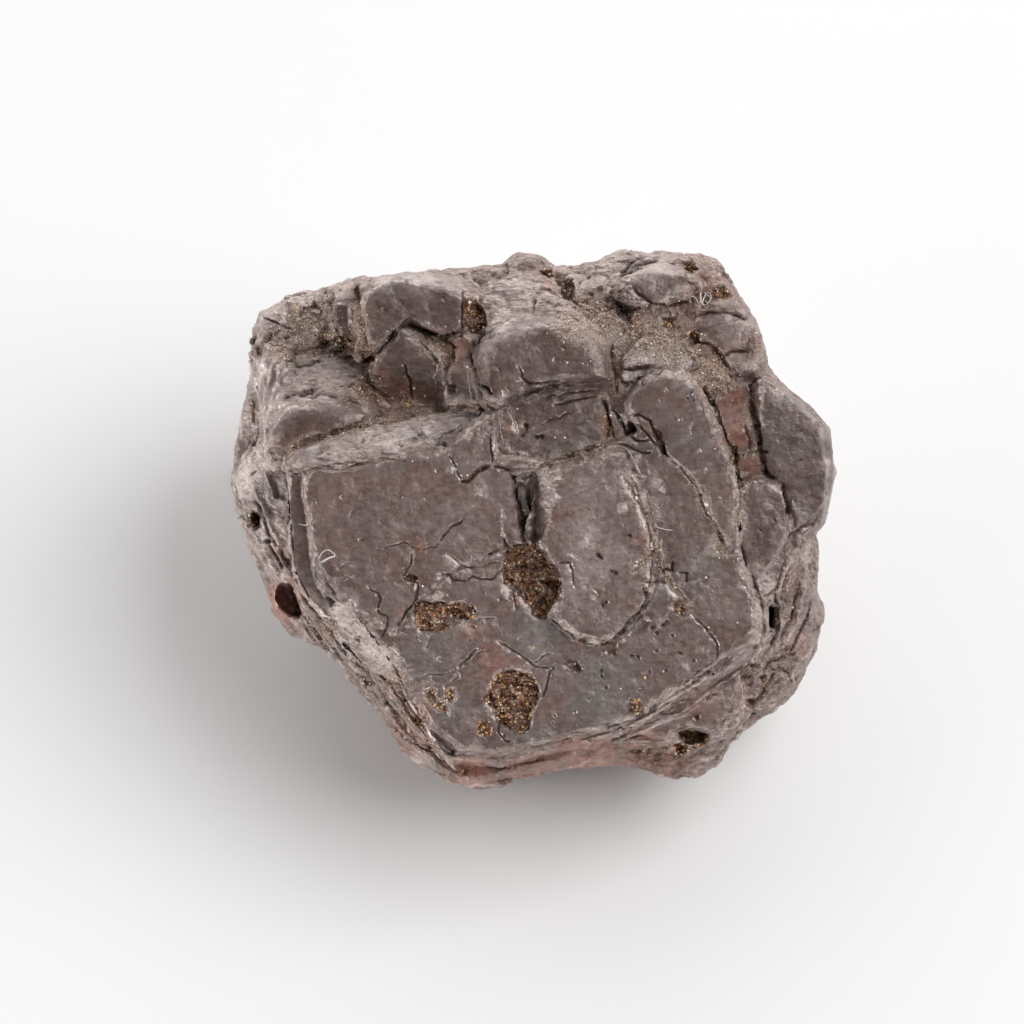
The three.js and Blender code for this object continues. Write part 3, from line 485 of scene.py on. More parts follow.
# The left edge: broken layers, the knob and the cup.
facet(
    ((-19.1, 4.8), (-18.2, 4.3), (-18.2, 3.2), (-17.9, 1.6), (-17.6, -1.2), (-17.4, -3.2), (-16.7, -4.9),
     (-15.9, -5.9), (-15.5, -7.8), (-17, -6.2), (-18.2, -5.1), (-18.8, -3.7), (-19.1, -2), (-19.2, 0),
     (-19.3, 3.2)),
    -1.25, (0.05, 0), edge=0.05, share=1.0,
)
ridge(
    ((-19.3, 5.6), (-19.3, 3.2), (-19.2, 0.8), (-19.1, -1.2), (-19, -2.6), (-18.6, -4), (-18.2, -5),
     (-17.2, -6.1), (-16.2, -7), (-15.5, -8), (-14.6, -9.8), (-13.6, -12), (-12.6, -13.9)),
    0.16, 0.08,
)
ridge(
    ((-18.2, 4.8), (-18.3, 3.2), (-18, 1.6), (-17.7, -0.8), (-17.5, -2.4), (-17.2, -4), (-16.7, -5),
     (-15.9, -5.8), (-15, -7), (-13.9, -9)),
    0.16, 0.06,
)
ridge(((-15.5, -8), (-14.8, -9.2), (-14, -10.8), (-13.4, -12.4), (-12.8, -13.6)), 0.3, 0.16)
ridge(
    ((-20.2, -2.4), (-19.4, -4.4), (-18.6, -5.6), (-17.8, -7), (-16.8, -8.3), (-15.7, -9.8),
     (-14.6, -11.5), (-13.8, -13.3)),
    0.18, 0.10,
)
ridge(((-18.7, -6.1), (-17.9, -7.5), (-17, -8.8), (-15.8, -10.4), (-14.8, -12.3)), 0.16, 0.08)
ridge(
    ((-21.4, -7.6), (-19.6, -8.9), (-17.8, -10), (-16.2, -11.2), (-14.9, -12.8), (-13.9, -14.1)),
    0.18, 0.10,
)
crack(((-18.4, -5.6), (-17.8, -6.6), (-17.3, -7.8), (-16.6, -8.8)), 0.24, 0.15, fill=0.3)
crack(((-20, -1.2), (-19.8, -2.1), (-19.3, -2.9), (-18.9, -3.6)), 0.5, 0.4)
crack(((-21, -1.2), (-20.3, -2.1), (-19.7, -3)), 0.4, 0.3)
ridge(((-21.4, -1.4), (-20.6, -2.9), (-19.8, -4), (-19.1, -5.6), (-18.4, -6.7)), 0.35, 0.2)
ridge(((-21, 5.1), (-22.3, 4.2), (-21.6, 2.4), (-20.8, 0.8), (-20.2, -0.8), (-19.8, -1.8)), 0.35, 0.22)
ridge(((-23.2, 4), (-22.9, 1.6), (-22.2, 0), (-21.4, -1.4)), 0.3, 0.15)
crack(((-21.8, 4.8), (-22.4, 4.3), (-21.9, 3.2)), 0.3, 0.2)
plate(((-21.1, 4.8), (-20, 4.2), (-19.6, 2.4), (-20.3, 2.6)), -0.35)
crack(((-22, 2.4), (-21.4, 1.2), (-21, -0.2), (-20.3, -1.4)), 0.35, 0.3)
pit(
    ((-22.6, 1.4), (-22, 1.5), (-21.6, 1), (-21.6, 0.2), (-22.1, -0.1), (-22.6, 0.4)),
    0.4, lumps=0.2, rust=0.6,
)
dents(0.3, 0.6, (-21, -0.9))
facet(
    ((-16, -6.6), (-15.4, -5.4), (-14.4, -5.8), (-13.6, -6.6), (-13, -7.9), (-12.1, -9), (-10.7, -9.9),
     (-9.9, -11), (-9.4, -12.3), (-10.7, -12.2), (-12.6, -11.3), (-14.3, -10.2), (-15.5, -8.6)),
    -0.55, (0.52, 0.42), edge=0.12, share=1.0, gloss=0.25,
)
streaks(
    ((-16, -6.1), (-14.8, -5.6), (-13, -8), (-10.6, -10), (-9.4, -12.3), (-12.6, -11.3), (-14.8, -9.8),
     (-15.8, -8)),
    -42, 0.28, 0.05,
)
crack(((-15.2, -5.6), (-14.2, -5.9), (-13.5, -6.7), (-13, -8), (-12, -9.1), (-11.2, -9.7)), 0.16, 0.1)
crack(((-15.5, -8.8), (-14.2, -10.3), (-12.6, -11.4), (-11, -12.2)), 0.3, 0.2, fill=0.3)
pit(((-13.4, -11.7), (-12.8, -11.7), (-12.5, -12.3), (-13.1, -12.6)), 0.35, rust=0.5)
crack(((-17, -10), (-16, -10.7), (-15.2, -11.8)), 0.24, 0.15)

# The lower edge.
ridge(
    ((-10.8, -11.4), (-10.1, -12.6), (-9.2, -14.2), (-8.4, -15.3), (-7.8, -16.5), (-7.1, -17.4),
     (-6.3, -18.5), (-5.8, -19.4), (-5.4, -20.3)),
    0.35, 0.2,
)
crack(
    ((-11.3, -12), (-10.6, -13.2), (-9.8, -14.4), (-9, -15.5), (-8.2, -16.6), (-7.7, -17.6)),
    0.3, 0.2, fill=0.5,
)
pit(((-9.7, -15), (-9, -14.8), (-8.4, -15), (-8.5, -15.6), (-9.3, -15.6)), 0.5, rust=1.0)
pit(((-5.4, -19.1), (-5, -19), (-5, -19.7), (-5.4, -19.7)), 0.3, lumps=0.1, rust=0.4)
crack(
    ((-4, -18.6), (-2.8, -18.9), (-1.6, -19.1), (-0.5, -18.7), (0.5, -18.4), (1.6, -18)),
    0.3, 0.2, step=0.1,
)
crack(((-10.4, -16.4), (-9.2, -17.2), (-7.8, -17.8), (-6.8, -18.6)), 0.24, 0.14)
ridge(
    ((-6.2, -20.6), (-4, -20.4), (-1.6, -20.1), (0.8, -19.8), (3.2, -19), (4.8, -18.4), (6.6, -17.8)),
    0.16, 0.08,
)
ridge(
    ((-13.4, -13.6), (-12.6, -14.9), (-11.8, -16.5), (-10.6, -17.6), (-8.6, -18.9), (-7, -20.5)),
    0.16, 0.08,
)
dents(0.2, 0.5, (-6.7, -18.4), (-11.4, -13.8), (-10, -13.6), (-8, -17.4), (-6.2, -17.8))
ridge(
    ((6.6, -18.1), (7, -17.4), (7.7, -16.6), (8.8, -16.2), (10, -15.6), (11.2, -15), (12.4, -14.2),
     (13.6, -13.4), (14.8, -12.6), (16, -11.8), (17.3, -10.7)),
    0.3, 0.16,
)
ridge(
    ((6.6, -16.6), (7.6, -15.9), (8.8, -15.4), (10, -14.5), (10.8, -13.7), (12, -13), (13.6, -12.2),
     (14.7, -11.2)),
    0.25, 0.12,
)
crack(((6.4, -17), (7, -16.5), (7.7, -16.1)), 0.5, 0.4)
crack(((6.7, -17.8), (7.2, -17.1), (8, -16.6), (9, -16.4)), 0.35, 0.3)
crack(((7.6, -17.8), (9.2, -17.8), (10.4, -17.5), (11.4, -17.3)), 0.35, 0.3, fill=0.5)
pit(
    ((12.1, -16.2), (13, -16), (14, -16.2), (14.5, -16.6), (14.1, -17.1), (13.1, -17.2), (12.4, -17)),
    0.8, rust=0.9,
)
pit(((11.5, -17.1), (12.3, -17), (12.8, -17.6), (12, -18), (11.5, -17.8)), 0.5, rust=1.0)
dents(0.3, 0.6, (13.4, -15), (7.2, -16))
dents(0.2, 0.4, (14.6, -11.6), (13.4, -12.8), (14.3, -11.4), (13.1, -10.4))
crack(
    ((12.8, -6.6), (13.6, -7.4), (14.2, -8), (14.8, -8.8), (15.1, -9.8), (14.9, -10.5), (14, -11),
     (13.2, -11.6), (12, -12.6)),
    0.24, 0.2, step=-0.05,
)
ridge(
    ((16.4, -4.2), (17.2, -4.8), (17.8, -5.6), (18.2, -6.6), (18.2, -7.2), (17.8, -7.8), (17.3, -8.5)),
    0.3, 0.15,
)
ridge(((17.8, -7.8), (18.2, -8.8), (18.2, -9.6), (17.6, -10.6), (16.8, -11.1), (15.9, -11.8)), 0.3, 0.16)
crack(((16.6, -8.8), (16, -10), (15.2, -11)), 0.2, 0.1)
pit(
    ((16.8, -11.4), (17.4, -10.7), (18.2, -10.6), (18.1, -11.6), (17.6, -12.6), (17, -12.5)),
    0.5, lumps=0.2, rust=0.2,
)
ridge(((19.3, -9.6), (18.6, -10.4), (18.1, -11.3), (17.8, -12.1), (17, -12.6)), 0.35, 0.2)
ridge(((16.8, -12.2), (17, -13.6), (16.6, -14.8), (15.8, -15.7), (14.8, -16.5), (14, -17)), 0.35, 0.2)
crack(((14, -13.6), (14.6, -13.2), (15.2, -13.1)), 0.4, 0.2, fill=1.0)

# The right foot: close, pale, parallel ridges.
crack(((19.5, -5), (19.8, -6.1), (19.7, -8), (19.2, -9.4)), 0.5, 0.5)
pit(((19.1, -6.4), (19.5, -6.2), (19.8, -7), (19.5, -7.9), (19.1, -7.8)), 0.7, rust=0.3)
ridge(((21.4, -1.4), (20.6, -2.6), (20.1, -4), (19.6, -5.2)), 0.35, 0.2)
crack(((21, -2.4), (20.6, -3.4), (20.3, -4.6), (20.2, -5.9)), 0.4, 0.35, fill=0.3)
crack(((21.6, -4.2), (21.4, -5.2), (21, -6.6), (20.5, -7.8), (20, -8.8)), 0.4, 0.3, fill=0.3)
ridge(((22.1, -4), (21.8, -5.6), (21.4, -7.2), (20.8, -8.5), (20, -9.6)), 0.35, 0.18)
crack(((22.6, -5.6), (22.1, -7.2), (21.4, -8.6), (20.6, -10)), 0.35, 0.25)
crack(((21.2, -9.8), (20.2, -10.2), (19.2, -10.6), (18.6, -11.4)), 0.4, 0.3, fill=0.4)
ridge(
    ((23, -8.8), (22.1, -9.8), (21.2, -10.7), (21, -11.7), (20, -12.2), (19, -13.1), (18.2, -14.1)),
    0.3, 0.2,
)
crack(((19.6, -11.4), (19, -12.2), (18.4, -13.3), (17.4, -14.2)), 0.5, 0.4, fill=0.6)
pit(((17.1, -13.6), (17.8, -13.4), (18.2, -13.8), (17.8, -14.3), (17.2, -14.2)), 0.4, rust=0.4)
pit(((18.4, -11.7), (18.9, -11.6), (19, -12.2), (18.6, -12.3)), 0.35, rust=0.5)
crack(((19.8, -10.7), (20.5, -11.4), (20.8, -12.3)), 0.3, 0.2)

# The deep pits in the broad face, where the ore was soft. Sand and rusty crumbs half fill them.
facet(
    ((-2, -2.1), (-1.4, -1.4), (-0.4, -1.2), (0.6, -1.3), (1.4, -2.6), (2.1, -3), (2.5, -5), (1.6, -6.2),
     (1.4, -7), (0.8, -7.1), (-0.6, -5.4), (-2, -4.2)),
    -0.75, (0, 0), edge=0.25, share=0.8, gloss=0,
)
facet(
    ((-9.2, -5.9), (-6.8, -5.8), (-4.8, -5.9), (-4.4, -6.6), (-5.6, -6.9), (-6.7, -8), (-8.8, -8)),
    -0.55, (0, 0), edge=0.2, share=0.8, gloss=0,
)
facet(
    ((-3.2, -12.4), (-2.6, -11.5), (-1, -11.3), (0.2, -11.8), (0.7, -12.8), (0.1, -14.9), (0, -15.8),
     (-1.2, -16.1), (-2.4, -15.4), (-3.3, -13.8)),
    -0.6, (0, 0), edge=0.25, share=0.8, gloss=0,
)
pit(
    ((-2, -2.4), (-1.8, -1.8), (-1.4, -1.4), (-0.4, -1.2), (0.6, -1.3), (1, -1.8), (1.4, -2.6), (2.1, -3),
     (2.4, -4), (2.5, -5), (2.1, -5.6), (1.6, -6.2), (1.4, -7), (0.8, -7.1), (0.3, -6.7), (0, -6),
     (-0.6, -5.4), (-1.4, -4.4), (-2, -4.2), (-2.2, -3.6), (-2.1, -3)),
    0.3, lumps=0.6,
)
pit(
    ((-9.2, -6.1), (-8.8, -5.9), (-8, -5.8), (-6.8, -5.8), (-5.6, -5.9), (-4.8, -6), (-4.4, -6.6),
     (-4.6, -7), (-5, -7.2), (-5.6, -6.9), (-6.6, -6.9), (-6.8, -7.4), (-6.7, -8), (-7.6, -8.2), (-8.8, -8),
     (-9.1, -7.4)),
    0.15, lumps=0.45,
)
pit(
    ((-3.2, -12.8), (-3, -12), (-2.6, -11.5), (-1.8, -11.3), (-1, -11.3), (-0.2, -11.4), (0.4, -12),
     (0.7, -12.8), (0.6, -13.6), (0.2, -14.2), (0.1, -14.9), (0, -15.8), (-0.6, -16.2), (-1.2, -16.1),
     (-1.8, -15.6), (-2.4, -15.4), (-2.8, -14.8), (-3, -14.2), (-3.3, -13.8), (-3.7, -13.8), (-3.8, -13.4),
     (-3.4, -13.1)),
    0.3, lumps=0.55,
)
pit(
    ((-4.1, -15.5), (-3.5, -15.2), (-3, -15.5), (-3.1, -16.3), (-3.7, -16.6), (-4.2, -16.2)),
    0.35, lumps=0.4,
)
pit(
    ((-8.2, -12.9), (-7.7, -12.8), (-7.5, -13.5), (-7, -13.8), (-6.6, -14.5), (-7.1, -14.6),
     (-7.7, -14.1), (-8.2, -13.5)),
    0.25, lumps=0.4, rust=0.5,
)
crack(
    ((-8.2, -13.5), (-8.2, -12.9), (-7.7, -12.8), (-7.5, -13.5), (-7, -13.8), (-6.6, -14.5),
     (-7.1, -14.6), (-7.7, -14.1), (-8.2, -13.5)),
    0.15, 0.02, fill=1.2,
)
crack(
    ((-6.7, -12.7), (-6.1, -12.8), (-6.1, -13.6), (-6.6, -13.8), (-6.8, -13.3), (-6.7, -12.7)),
    0.15, 0.02, fill=1.2,
)
pit(((-6.7, -12.7), (-6.1, -12.8), (-6.1, -13.6), (-6.6, -13.8), (-6.8, -13.3)), 0.25, lumps=0.4, rust=0.5)
pit(((11.6, -5.8), (12.2, -5.8), (12.5, -6.3), (12.2, -6.8), (11.6, -6.7)), 0.45, lumps=0.5)
pit(((7.9, -13.7), (8.5, -13.4), (9, -13.8), (9, -14.6), (8.5, -14.9), (8, -14.6)), 0.4, lumps=0.5)


SWELL_GAIN = 1.6  # brings the swells up to about -1 and 1
SCATTER = 0.45  # how far a crystal's middle strays from the middle of its cell, in cells
FAR = 9.0  # farther than any crystal that counts, in cells


def unevenness(points, size, salt):
    """Smooth swells and hollows between about -1 and 1, each about size millimetres across."""
    cell = points / size
    corner_at = np.floor(cell).astype(np.int64)
    part = cell - corner_at
    ease = part * part * part * (part * (part * 6 - 15) + 10)
    total = np.zeros(len(points))
    for corner in np.ndindex(2, 2, 2):
        slopes = scramble(corner_at + corner, salt)
        share = np.prod(np.where(corner, ease, 1 - ease), axis=1)
        total += share * np.einsum("ij,ij->i", slopes, part - corner)
    return SWELL_GAIN * total


def scramble(cells, salt):
    """Three repeatable numbers between -1 and 1 for each whole-numbered cell."""
    mixed = cells[:, 0] * 73856093 ^ cells[:, 1] * 19349663 ^ cells[:, 2] * 83492791 ^ salt * 41947
    mixed = (mixed ^ mixed >> 13) * 1274126177 & 0xFFFFFFFF
    mixed = (mixed ^ mixed >> 16) * 2246822519 & 0xFFFFFFFF
    return np.stack([(mixed >> shift & 1023) / 511.5 - 1 for shift in (2, 12, 22)], axis=1)


def crystals(points, size, salt):
    """The skin as broken crystals of about size millimetres: how far each point is from the middle of
    its own crystal and from the next one's, in crystals, and how high it lies on its own facet."""
    cell = points / size
    home = np.floor(cell).astype(np.int64)
    first = np.full(len(points), FAR)
    second = np.full(len(points), FAR)
    facet = np.zeros(len(points))
    for step in np.ndindex(3, 3, 3):
        beside = home + step - 1
        tilt = scramble(beside, salt)
        gap = cell - (beside + 0.5 + SCATTER * tilt)
        away = np.sqrt(np.einsum("ij,ij->i", gap, gap))
        facet = np.where(away < first, np.einsum("ij,ij->i", gap, tilt[:, [1, 2, 0]]), facet)
        second = np.minimum(second, np.maximum(first, away))
        first = np.minimum(first, away)
    return first, second, facet


def smooth(low, high, value):
    share = np.clip((value - low) / (high - low), 0, 1)
    return share * share * (3 - 2 * share)


def along_line(places, line):
    """For each place how far it is from a line, its side of it, how far along it lies, 0 to 1, and the
    point of the line that is nearest."""
    nearest = np.full(len(places), np.inf)
    foot = places.copy()
    side = np.zeros(len(places))
    along = np.zeros(len(places))
    lengths = np.linalg.norm(np.diff(line, axis=0), axis=1)
    done = 0.0
    for start, end, length in zip(line, line[1:], lengths):
        way = (end - start) / length
        away = places - start
        run = np.clip(away @ way, 0, length)
        gap = np.linalg.norm(away - run[:, None] * way, axis=1)
        closer = gap < nearest
        nearest[closer] = gap[closer]
        foot[closer] = start + run[closer, None] * way
        side[closer] = np.sign(way[0] * away[closer, 1] - way[1] * away[closer, 0])
        along[closer] = (done + run[closer]) / lengths.sum()
        done += length
    return nearest, side, along, foot


def closed(outline):
    """The outline with its first point once more at its end."""
    return np.vstack([outline, outline[:1]])


def within(places, outline):
    """How far inside an outline each place lies, in millimetres, and below nothing outside it."""
    edge = along_line(places, closed(outline))[0]
    inside = np.zeros(len(places), bool)
    for (au, av), (bu, bv) in zip(outline, np.roll(outline, -1, axis=0)):
        crosses = (av > places[:, 1]) != (bv > places[:, 1])
        if av != bv:
            inside ^= crosses & (places[:, 0] < au + (places[:, 1] - av) / (bv - av) * (bu - au))
    return np.where(inside, edge, -edge)


def tapered(along, steep):
    """How much of a mark is left at this share of its length, as it runs out at both ends."""
    return np.sqrt(np.clip(np.minimum(along, 1 - along) * steep, 0, 1))


def near(places, shape, margin):
    """The numbers of the places within margin of a shape's own box."""
    low = shape.min(axis=0) - margin
    high = shape.max(axis=0) + margin
    return np.nonzero(((places > low) & (places < high)).all(axis=1))[0]


def blotch(places, spots, points, salt):
    """The strength at each place of a set of soft, ragged spots, each given as its place, its reach in
    millimetres and its strength."""
    ragged = 0.35 * unevenness(points, 0.9, salt) + 0.2 * unevenness(points, 0.35, salt + 1)
    total = np.zeros(len(places))
    for spot, reach, strength in spots:
        gap = np.linalg.norm(places - np.array(spot), axis=1) / reach
        total = np.maximum(total, strength * smooth(1.25, 0.55, gap + ragged))
    return total


# Faces that the wind has polished although they lean away from the broad front.
POLISHED = (
    ((-14.4, -7.6), 1.2, 0.3), ((-11.6, -10.4), 1.4, 0.3), ((-15.2, 7.2), 1.4, 0.3), ((-10.4, 8), 1.8, 0.3),
    ((-6.4, 9), 1.4, 0.3), ((-18.4, 13.2), 1.4, 0.35), ((-16, 12.6), 1.4, 0.3), ((-0.8, 18), 2.0, 0.3),
    ((20.8, 8.8), 2.2, 1.0), ((20.4, 5.6), 2.4, 1.0), ((22.8, 7.2), 1.8, 1.0), ((21.6, 1.6), 2.0, 1.0),
    ((-4, -19), 2.0, 0.8), ((2.4, -18.8), 2.2, 0.8), ((6.4, -17.8), 1.6, 0.7), ((4.8, 8.4), 2.0, 0.8),
    ((0.8, 8.4), 2.0, 0.8), ((9.6, 10.4), 2.0, 0.9), ((8, 11.2), 1.2, 0.8), ((15.2, -12.8), 1.6, 0.7),
    ((13.6, -15.2), 1.6, 0.6), ((16.4, -9.6), 1.6, 0.8), ((13.6, -8.8), 2.0, 0.9), ((18.8, -3.6), 1.4, 0.6),
    ((-20.4, -5.6), 2.2, 0.9), ((16.4, 6.8), 1.6, 0.5),
    ((24.2, 7.2), 1.6, 1.0), ((24.3, 4.4), 1.8, 1.0), ((24, 1.6), 1.6, 1.0), ((-22.9, 8.8), 1.6, 0.8),
    ((-18.4, 8), 2.4, 1.0), ((-16, 9), 2.2, 1.0), ((-19.6, 8.8), 1.6, 0.9), ((-14, 9.4), 1.6, 0.9),
    ((-10.4, 18.4), 2.6, 0.9), ((-7.8, 18.1), 2.5, 0.9), ((-12.2, 17.4), 1.6, 0.9), ((-6.7, 19.2), 1.6, 0.8),
    ((-9.6, 13.4), 2.8, 1.0), ((-1.6, 14), 2.4, 0.9), ((1.2, 14.4), 2.8, 1.0), ((4.2, 14.4), 2.6, 0.9),
    ((5.9, 13.2), 1.6, 0.8), ((-21.4, 11.2), 2.0, 0.9), ((-20.4, 12.3), 1.7, 0.9), ((-22.4, 8.8), 1.6, 0.9),
    ((-14.8, 16.8), 1.5, 1.0), ((-20.6, 16.5), 1.5, 0.9), ((21.6, 6.4), 3.4, 1.0), ((19.6, 9.2), 2.4, 1.0),
    ((22.6, 3.6), 2.4, 0.9), ((19.6, 2), 2.2, 0.9), ((18.8, -0.8), 2.0, 0.9), ((10.6, 19.6), 2.2, 0.8),
    ((15.6, 15.6), 2.4, 0.9), ((17.2, 13.4), 2.0, 0.9), ((14, 16.4), 1.4, 0.8), ((16.4, 8.8), 1.8, 0.6),
    ((-22, 3.8), 1.8, 0.7), ((-20.3, 2.4), 1.9, 0.9), ((-20.8, -0.2), 1.5, 0.8), ((-18.4, 2.4), 1.5, 0.9),
    ((-18.4, -1.2), 1.5, 0.9), ((21.8, -5.8), 1.8, 0.7), ((21.6, -8.2), 1.6, 0.6), ((-0.8, -19), 2.2, 0.5),
    ((-8.4, -17.4), 1.8, 0.5), ((4.8, 19.6), 1.4, 0.5), ((-4, 12.4), 1.6, 0.6), ((2.4, 9.2), 2.6, 0.6),
)

# Depths along w and shares of facing toward the front. Where two are given, the change is gradual.
CARVED_DOWN_TO = (-15.0, -12.0)
CARVED_TOWARD = (0.0, 0.3)
SEEN_DOWN_TO = -14.5
SEEN_TOWARD = -0.3
POLISHED_DOWN_TO = (-7.5, -5.0)
POLISHED_TOWARD = (0.86, 0.97)
OUT_OF_SIGHT = 999.0
WANDER = 0.14  # how far drawn lines stray in long bends
JITTER = 0.05  # how far they stray in short ones
GLOSS_EDGE = 0.1


class Surface:
    """The stone's skin at its points: where each lies, which way it faces and how polished it is."""

    def __init__(self, mesh):
        self.points = read(mesh.vertices, "co") / MM
        self.normals = read(mesh.vertex_normals, "vector")
        self.depth = (self.points - FACE_AT) @ FACE_W
        toward = self.normals @ FACE_W
        self.front = smooth(*CARVED_TOWARD, toward) * smooth(*CARVED_DOWN_TO, self.depth)
        self.polish = smooth(*POLISHED_TOWARD, toward) * smooth(*POLISHED_DOWN_TO, self.depth)
        wander = [unevenness(self.points, 0.8, salt) * WANDER for salt in (1, 2)]
        jitter = [unevenness(self.points, 0.3, salt) * JITTER for salt in (3, 4)]
        self.places = on_face(self.points) + np.stack(wander, axis=1) + np.stack(jitter, axis=1)
        self.places[(toward < SEEN_TOWARD) | (self.depth < SEEN_DOWN_TO)] = OUT_OF_SIGHT
        self.polish = np.maximum(self.polish, blotch(self.places, POLISHED, self.points, 31))
        for outline, _, _, _, _, gloss in FACETS:
            spot = near(self.places, outline, GLOSS_EDGE)
            inside = smooth(-GLOSS_EDGE, GLOSS_EDGE, within(self.places[spot], outline))
            self.polish[spot] += inside * (gloss - self.polish[spot])


SLIDE = 0.08  # how far a point may slide onto a line
STEEPEST = 0.4  # where the skin faces the front less than this, a slide climbs no faster


def settle(skin):
    """Slides the points beside each joint and broken edge onto its line, so that it runs clean."""
    lines = [line for line, *_ in CRACKS + RIDGES]
    lines += [closed(outline) for outline, *_ in PLATES + FACETS]
    for line in lines:
        spot = near(skin.places, line, SLIDE)
        gap, _, _, foot = along_line(skin.places[spot], line)
        spot, foot = spot[gap < SLIDE], foot[gap < SLIDE]
        slide = foot - skin.places[spot]
        facing = skin.normals[spot]
        climb = slide[:, 0] * (facing @ FACE_U) + slide[:, 1] * (facing @ FACE_V)
        climb = -climb / np.maximum(facing @ FACE_W, STEEPEST)
        skin.points[spot] += slide[:, :1] * FACE_U + slide[:, 1:] * FACE_V + climb[:, None] * FACE_W
        skin.depth[spot] += climb
        skin.places[spot] = foot


def flatten(skin):
    """How far the cleavage faces draw each point of the skin along the view, in millimetres."""
    shift = np.zeros(len(skin.points))
    for outline, level, lean in FILLS:
        spot = near(skin.places, outline, 0.0)
        spot = spot[within(skin.places[spot], outline) > 0]
        flat = level + (skin.places[spot] - outline.mean(axis=0)) @ lean
        shift[spot] += np.maximum(flat - skin.depth[spot] - shift[spot], 0)
    for outline, level, lean, edge, share, _ in FACETS:
        spot = near(skin.places, outline, edge)
        inside = smooth(-edge, edge, within(skin.places[spot], outline)) * skin.front[spot]
        flat = level + (skin.places[spot] - outline.mean(axis=0)) @ lean
        shift[spot] += share * inside * (flat - skin.depth[spot] - shift[spot])
    return shift


RIDGE_RISE = 0.8  # a ridge's real height, as a share of the height that its line names
RIDGE_FOOT = 0.7  # half the width of its foot, as a share of the width named
RIDGE_TAPER = 8
CRACK_HALF = 0.30  # half a crack's real width, as a share of the width named
CRACK_SINK = 0.75  # its real depth, as a share of the depth named
CRACK_TAPER = 7
HAIRLINE = 0.06  # the least half width of a crack
SCRATCH = 0.02  # the least depth of a crack
STEP_REACH = 1.5  # how far from a crack the step across it has evened out
CRUMB = 0.5  # the size of the small crystals on a pit's floor
PIT_WALL = (-0.06, 0.22)  # where a pit's wall begins and ends, inside its outline
PORE_RIM = 0.55  # where a pore's wall begins, as a share of its width
PORE_FLOOR = 0.15  # where it ends
EDGE_ROOM = 0.5  # room beside an outline for its soft edge


def carve(skin):
    """How far the relief lifts each point of the skin, in millimetres."""
    lift = np.zeros(len(skin.points))
    for outline, rise, edge in PLATES:
        spot = near(skin.places, outline, EDGE_ROOM)
        lift[spot] += rise * smooth(-edge, edge, within(skin.places[spot], outline))
    for outline, way, apart, high in STREAKS:
        spot = near(skin.places, outline, EDGE_ROOM)
        share = smooth(0.0, 0.6, within(skin.places[spot], outline))
        across = skin.places[spot] @ np.array([-math.sin(way), math.cos(way)])
        across += 0.5 * apart * unevenness(skin.points[spot], 1.6, 8)
        broken = np.clip(0.4 + 1.5 * unevenness(skin.points[spot], 1.3, 9), 0, 1)
        lift[spot] += share * broken * high * np.sin(across / apart * 2 * math.pi)
    for line, wide, high in RIDGES:
        spot = near(skin.places, line, wide)
        gap, _, along, _ = along_line(skin.places[spot], line)
        ends = tapered(along, RIDGE_TAPER)
        lift[spot] += RIDGE_RISE * high * ends * np.clip(1 - gap / (RIDGE_FOOT * wide), 0, 1)
    for line, wide, deep, step, _ in CRACKS:
        spot = near(skin.places, line, STEP_REACH)
        gap, side, along, _ = along_line(skin.places[spot], line)
        ends = tapered(along, CRACK_TAPER)
        uneven = 1 + 0.45 * unevenness(skin.points[spot], 0.9, 5)
        half = CRACK_HALF * wide * uneven * (0.35 + 0.65 * ends) + HAIRLINE
        lift[spot] -= (SCRATCH + CRACK_SINK * deep) * uneven * ends * np.clip(1 - gap / half, 0, 1)
        lift[spot] += 0.5 * step * side * ends * smooth(STEP_REACH, 0.0, gap) * smooth(0.0, SLIDE, gap)
    for outline, deep, lumps, _ in PITS:
        spot = near(skin.places, outline, EDGE_ROOM)
        share = smooth(*PIT_WALL, within(skin.places[spot], outline))
        first, _, tilt = crystals(skin.points[spot], CRUMB, 6)
        floor = lumps * (0.5 - first + 0.3 * tilt) + 0.6 * lumps * unevenness(skin.points[spot], 1.1, 7)
        lift[spot] -= share * (deep - floor)
    for place, wide, deep in DENTS:
        spot = near(skin.places, place[None], wide)
        gap = np.linalg.norm(skin.places[spot] - place, axis=1)
        lift[spot] -= deep * smooth(PORE_RIM * wide, PORE_FLOOR * wide, gap)
    return lift * skin.front


# Marks of wear: their size, how high they stand on a polished face, and how much more on a rough one.
SWELLS = (6.5, 0.05, 0.12)
LUMPS = (2.4, 0.02, 0.16)
KNOBS = (0.95, 0.006, 0.115)
GRIT = (0.42, 0.002, 0.065)
BLOCKS = (2.6, 0.01, 0.20)
SPLINTERS = (0.95, 0.003, 0.10)
WIND_DRAWN = (0.7, 1, 1)  # draws the small marks out across the face
TERRACE = 0.022  # the height of a wind-cut step on a polished face
BACK_BLOCK = 5.5  # the size of the blocks behind
BACK_JOINT = 0.16  # the depth of the joints between them
BACK_RISE = 0.5  # how far their middles stand out


def standing(mark, rough):
    """How high a mark of wear stands at each point, in millimetres."""
    _, polished, rougher = mark
    return polished + rougher * rough


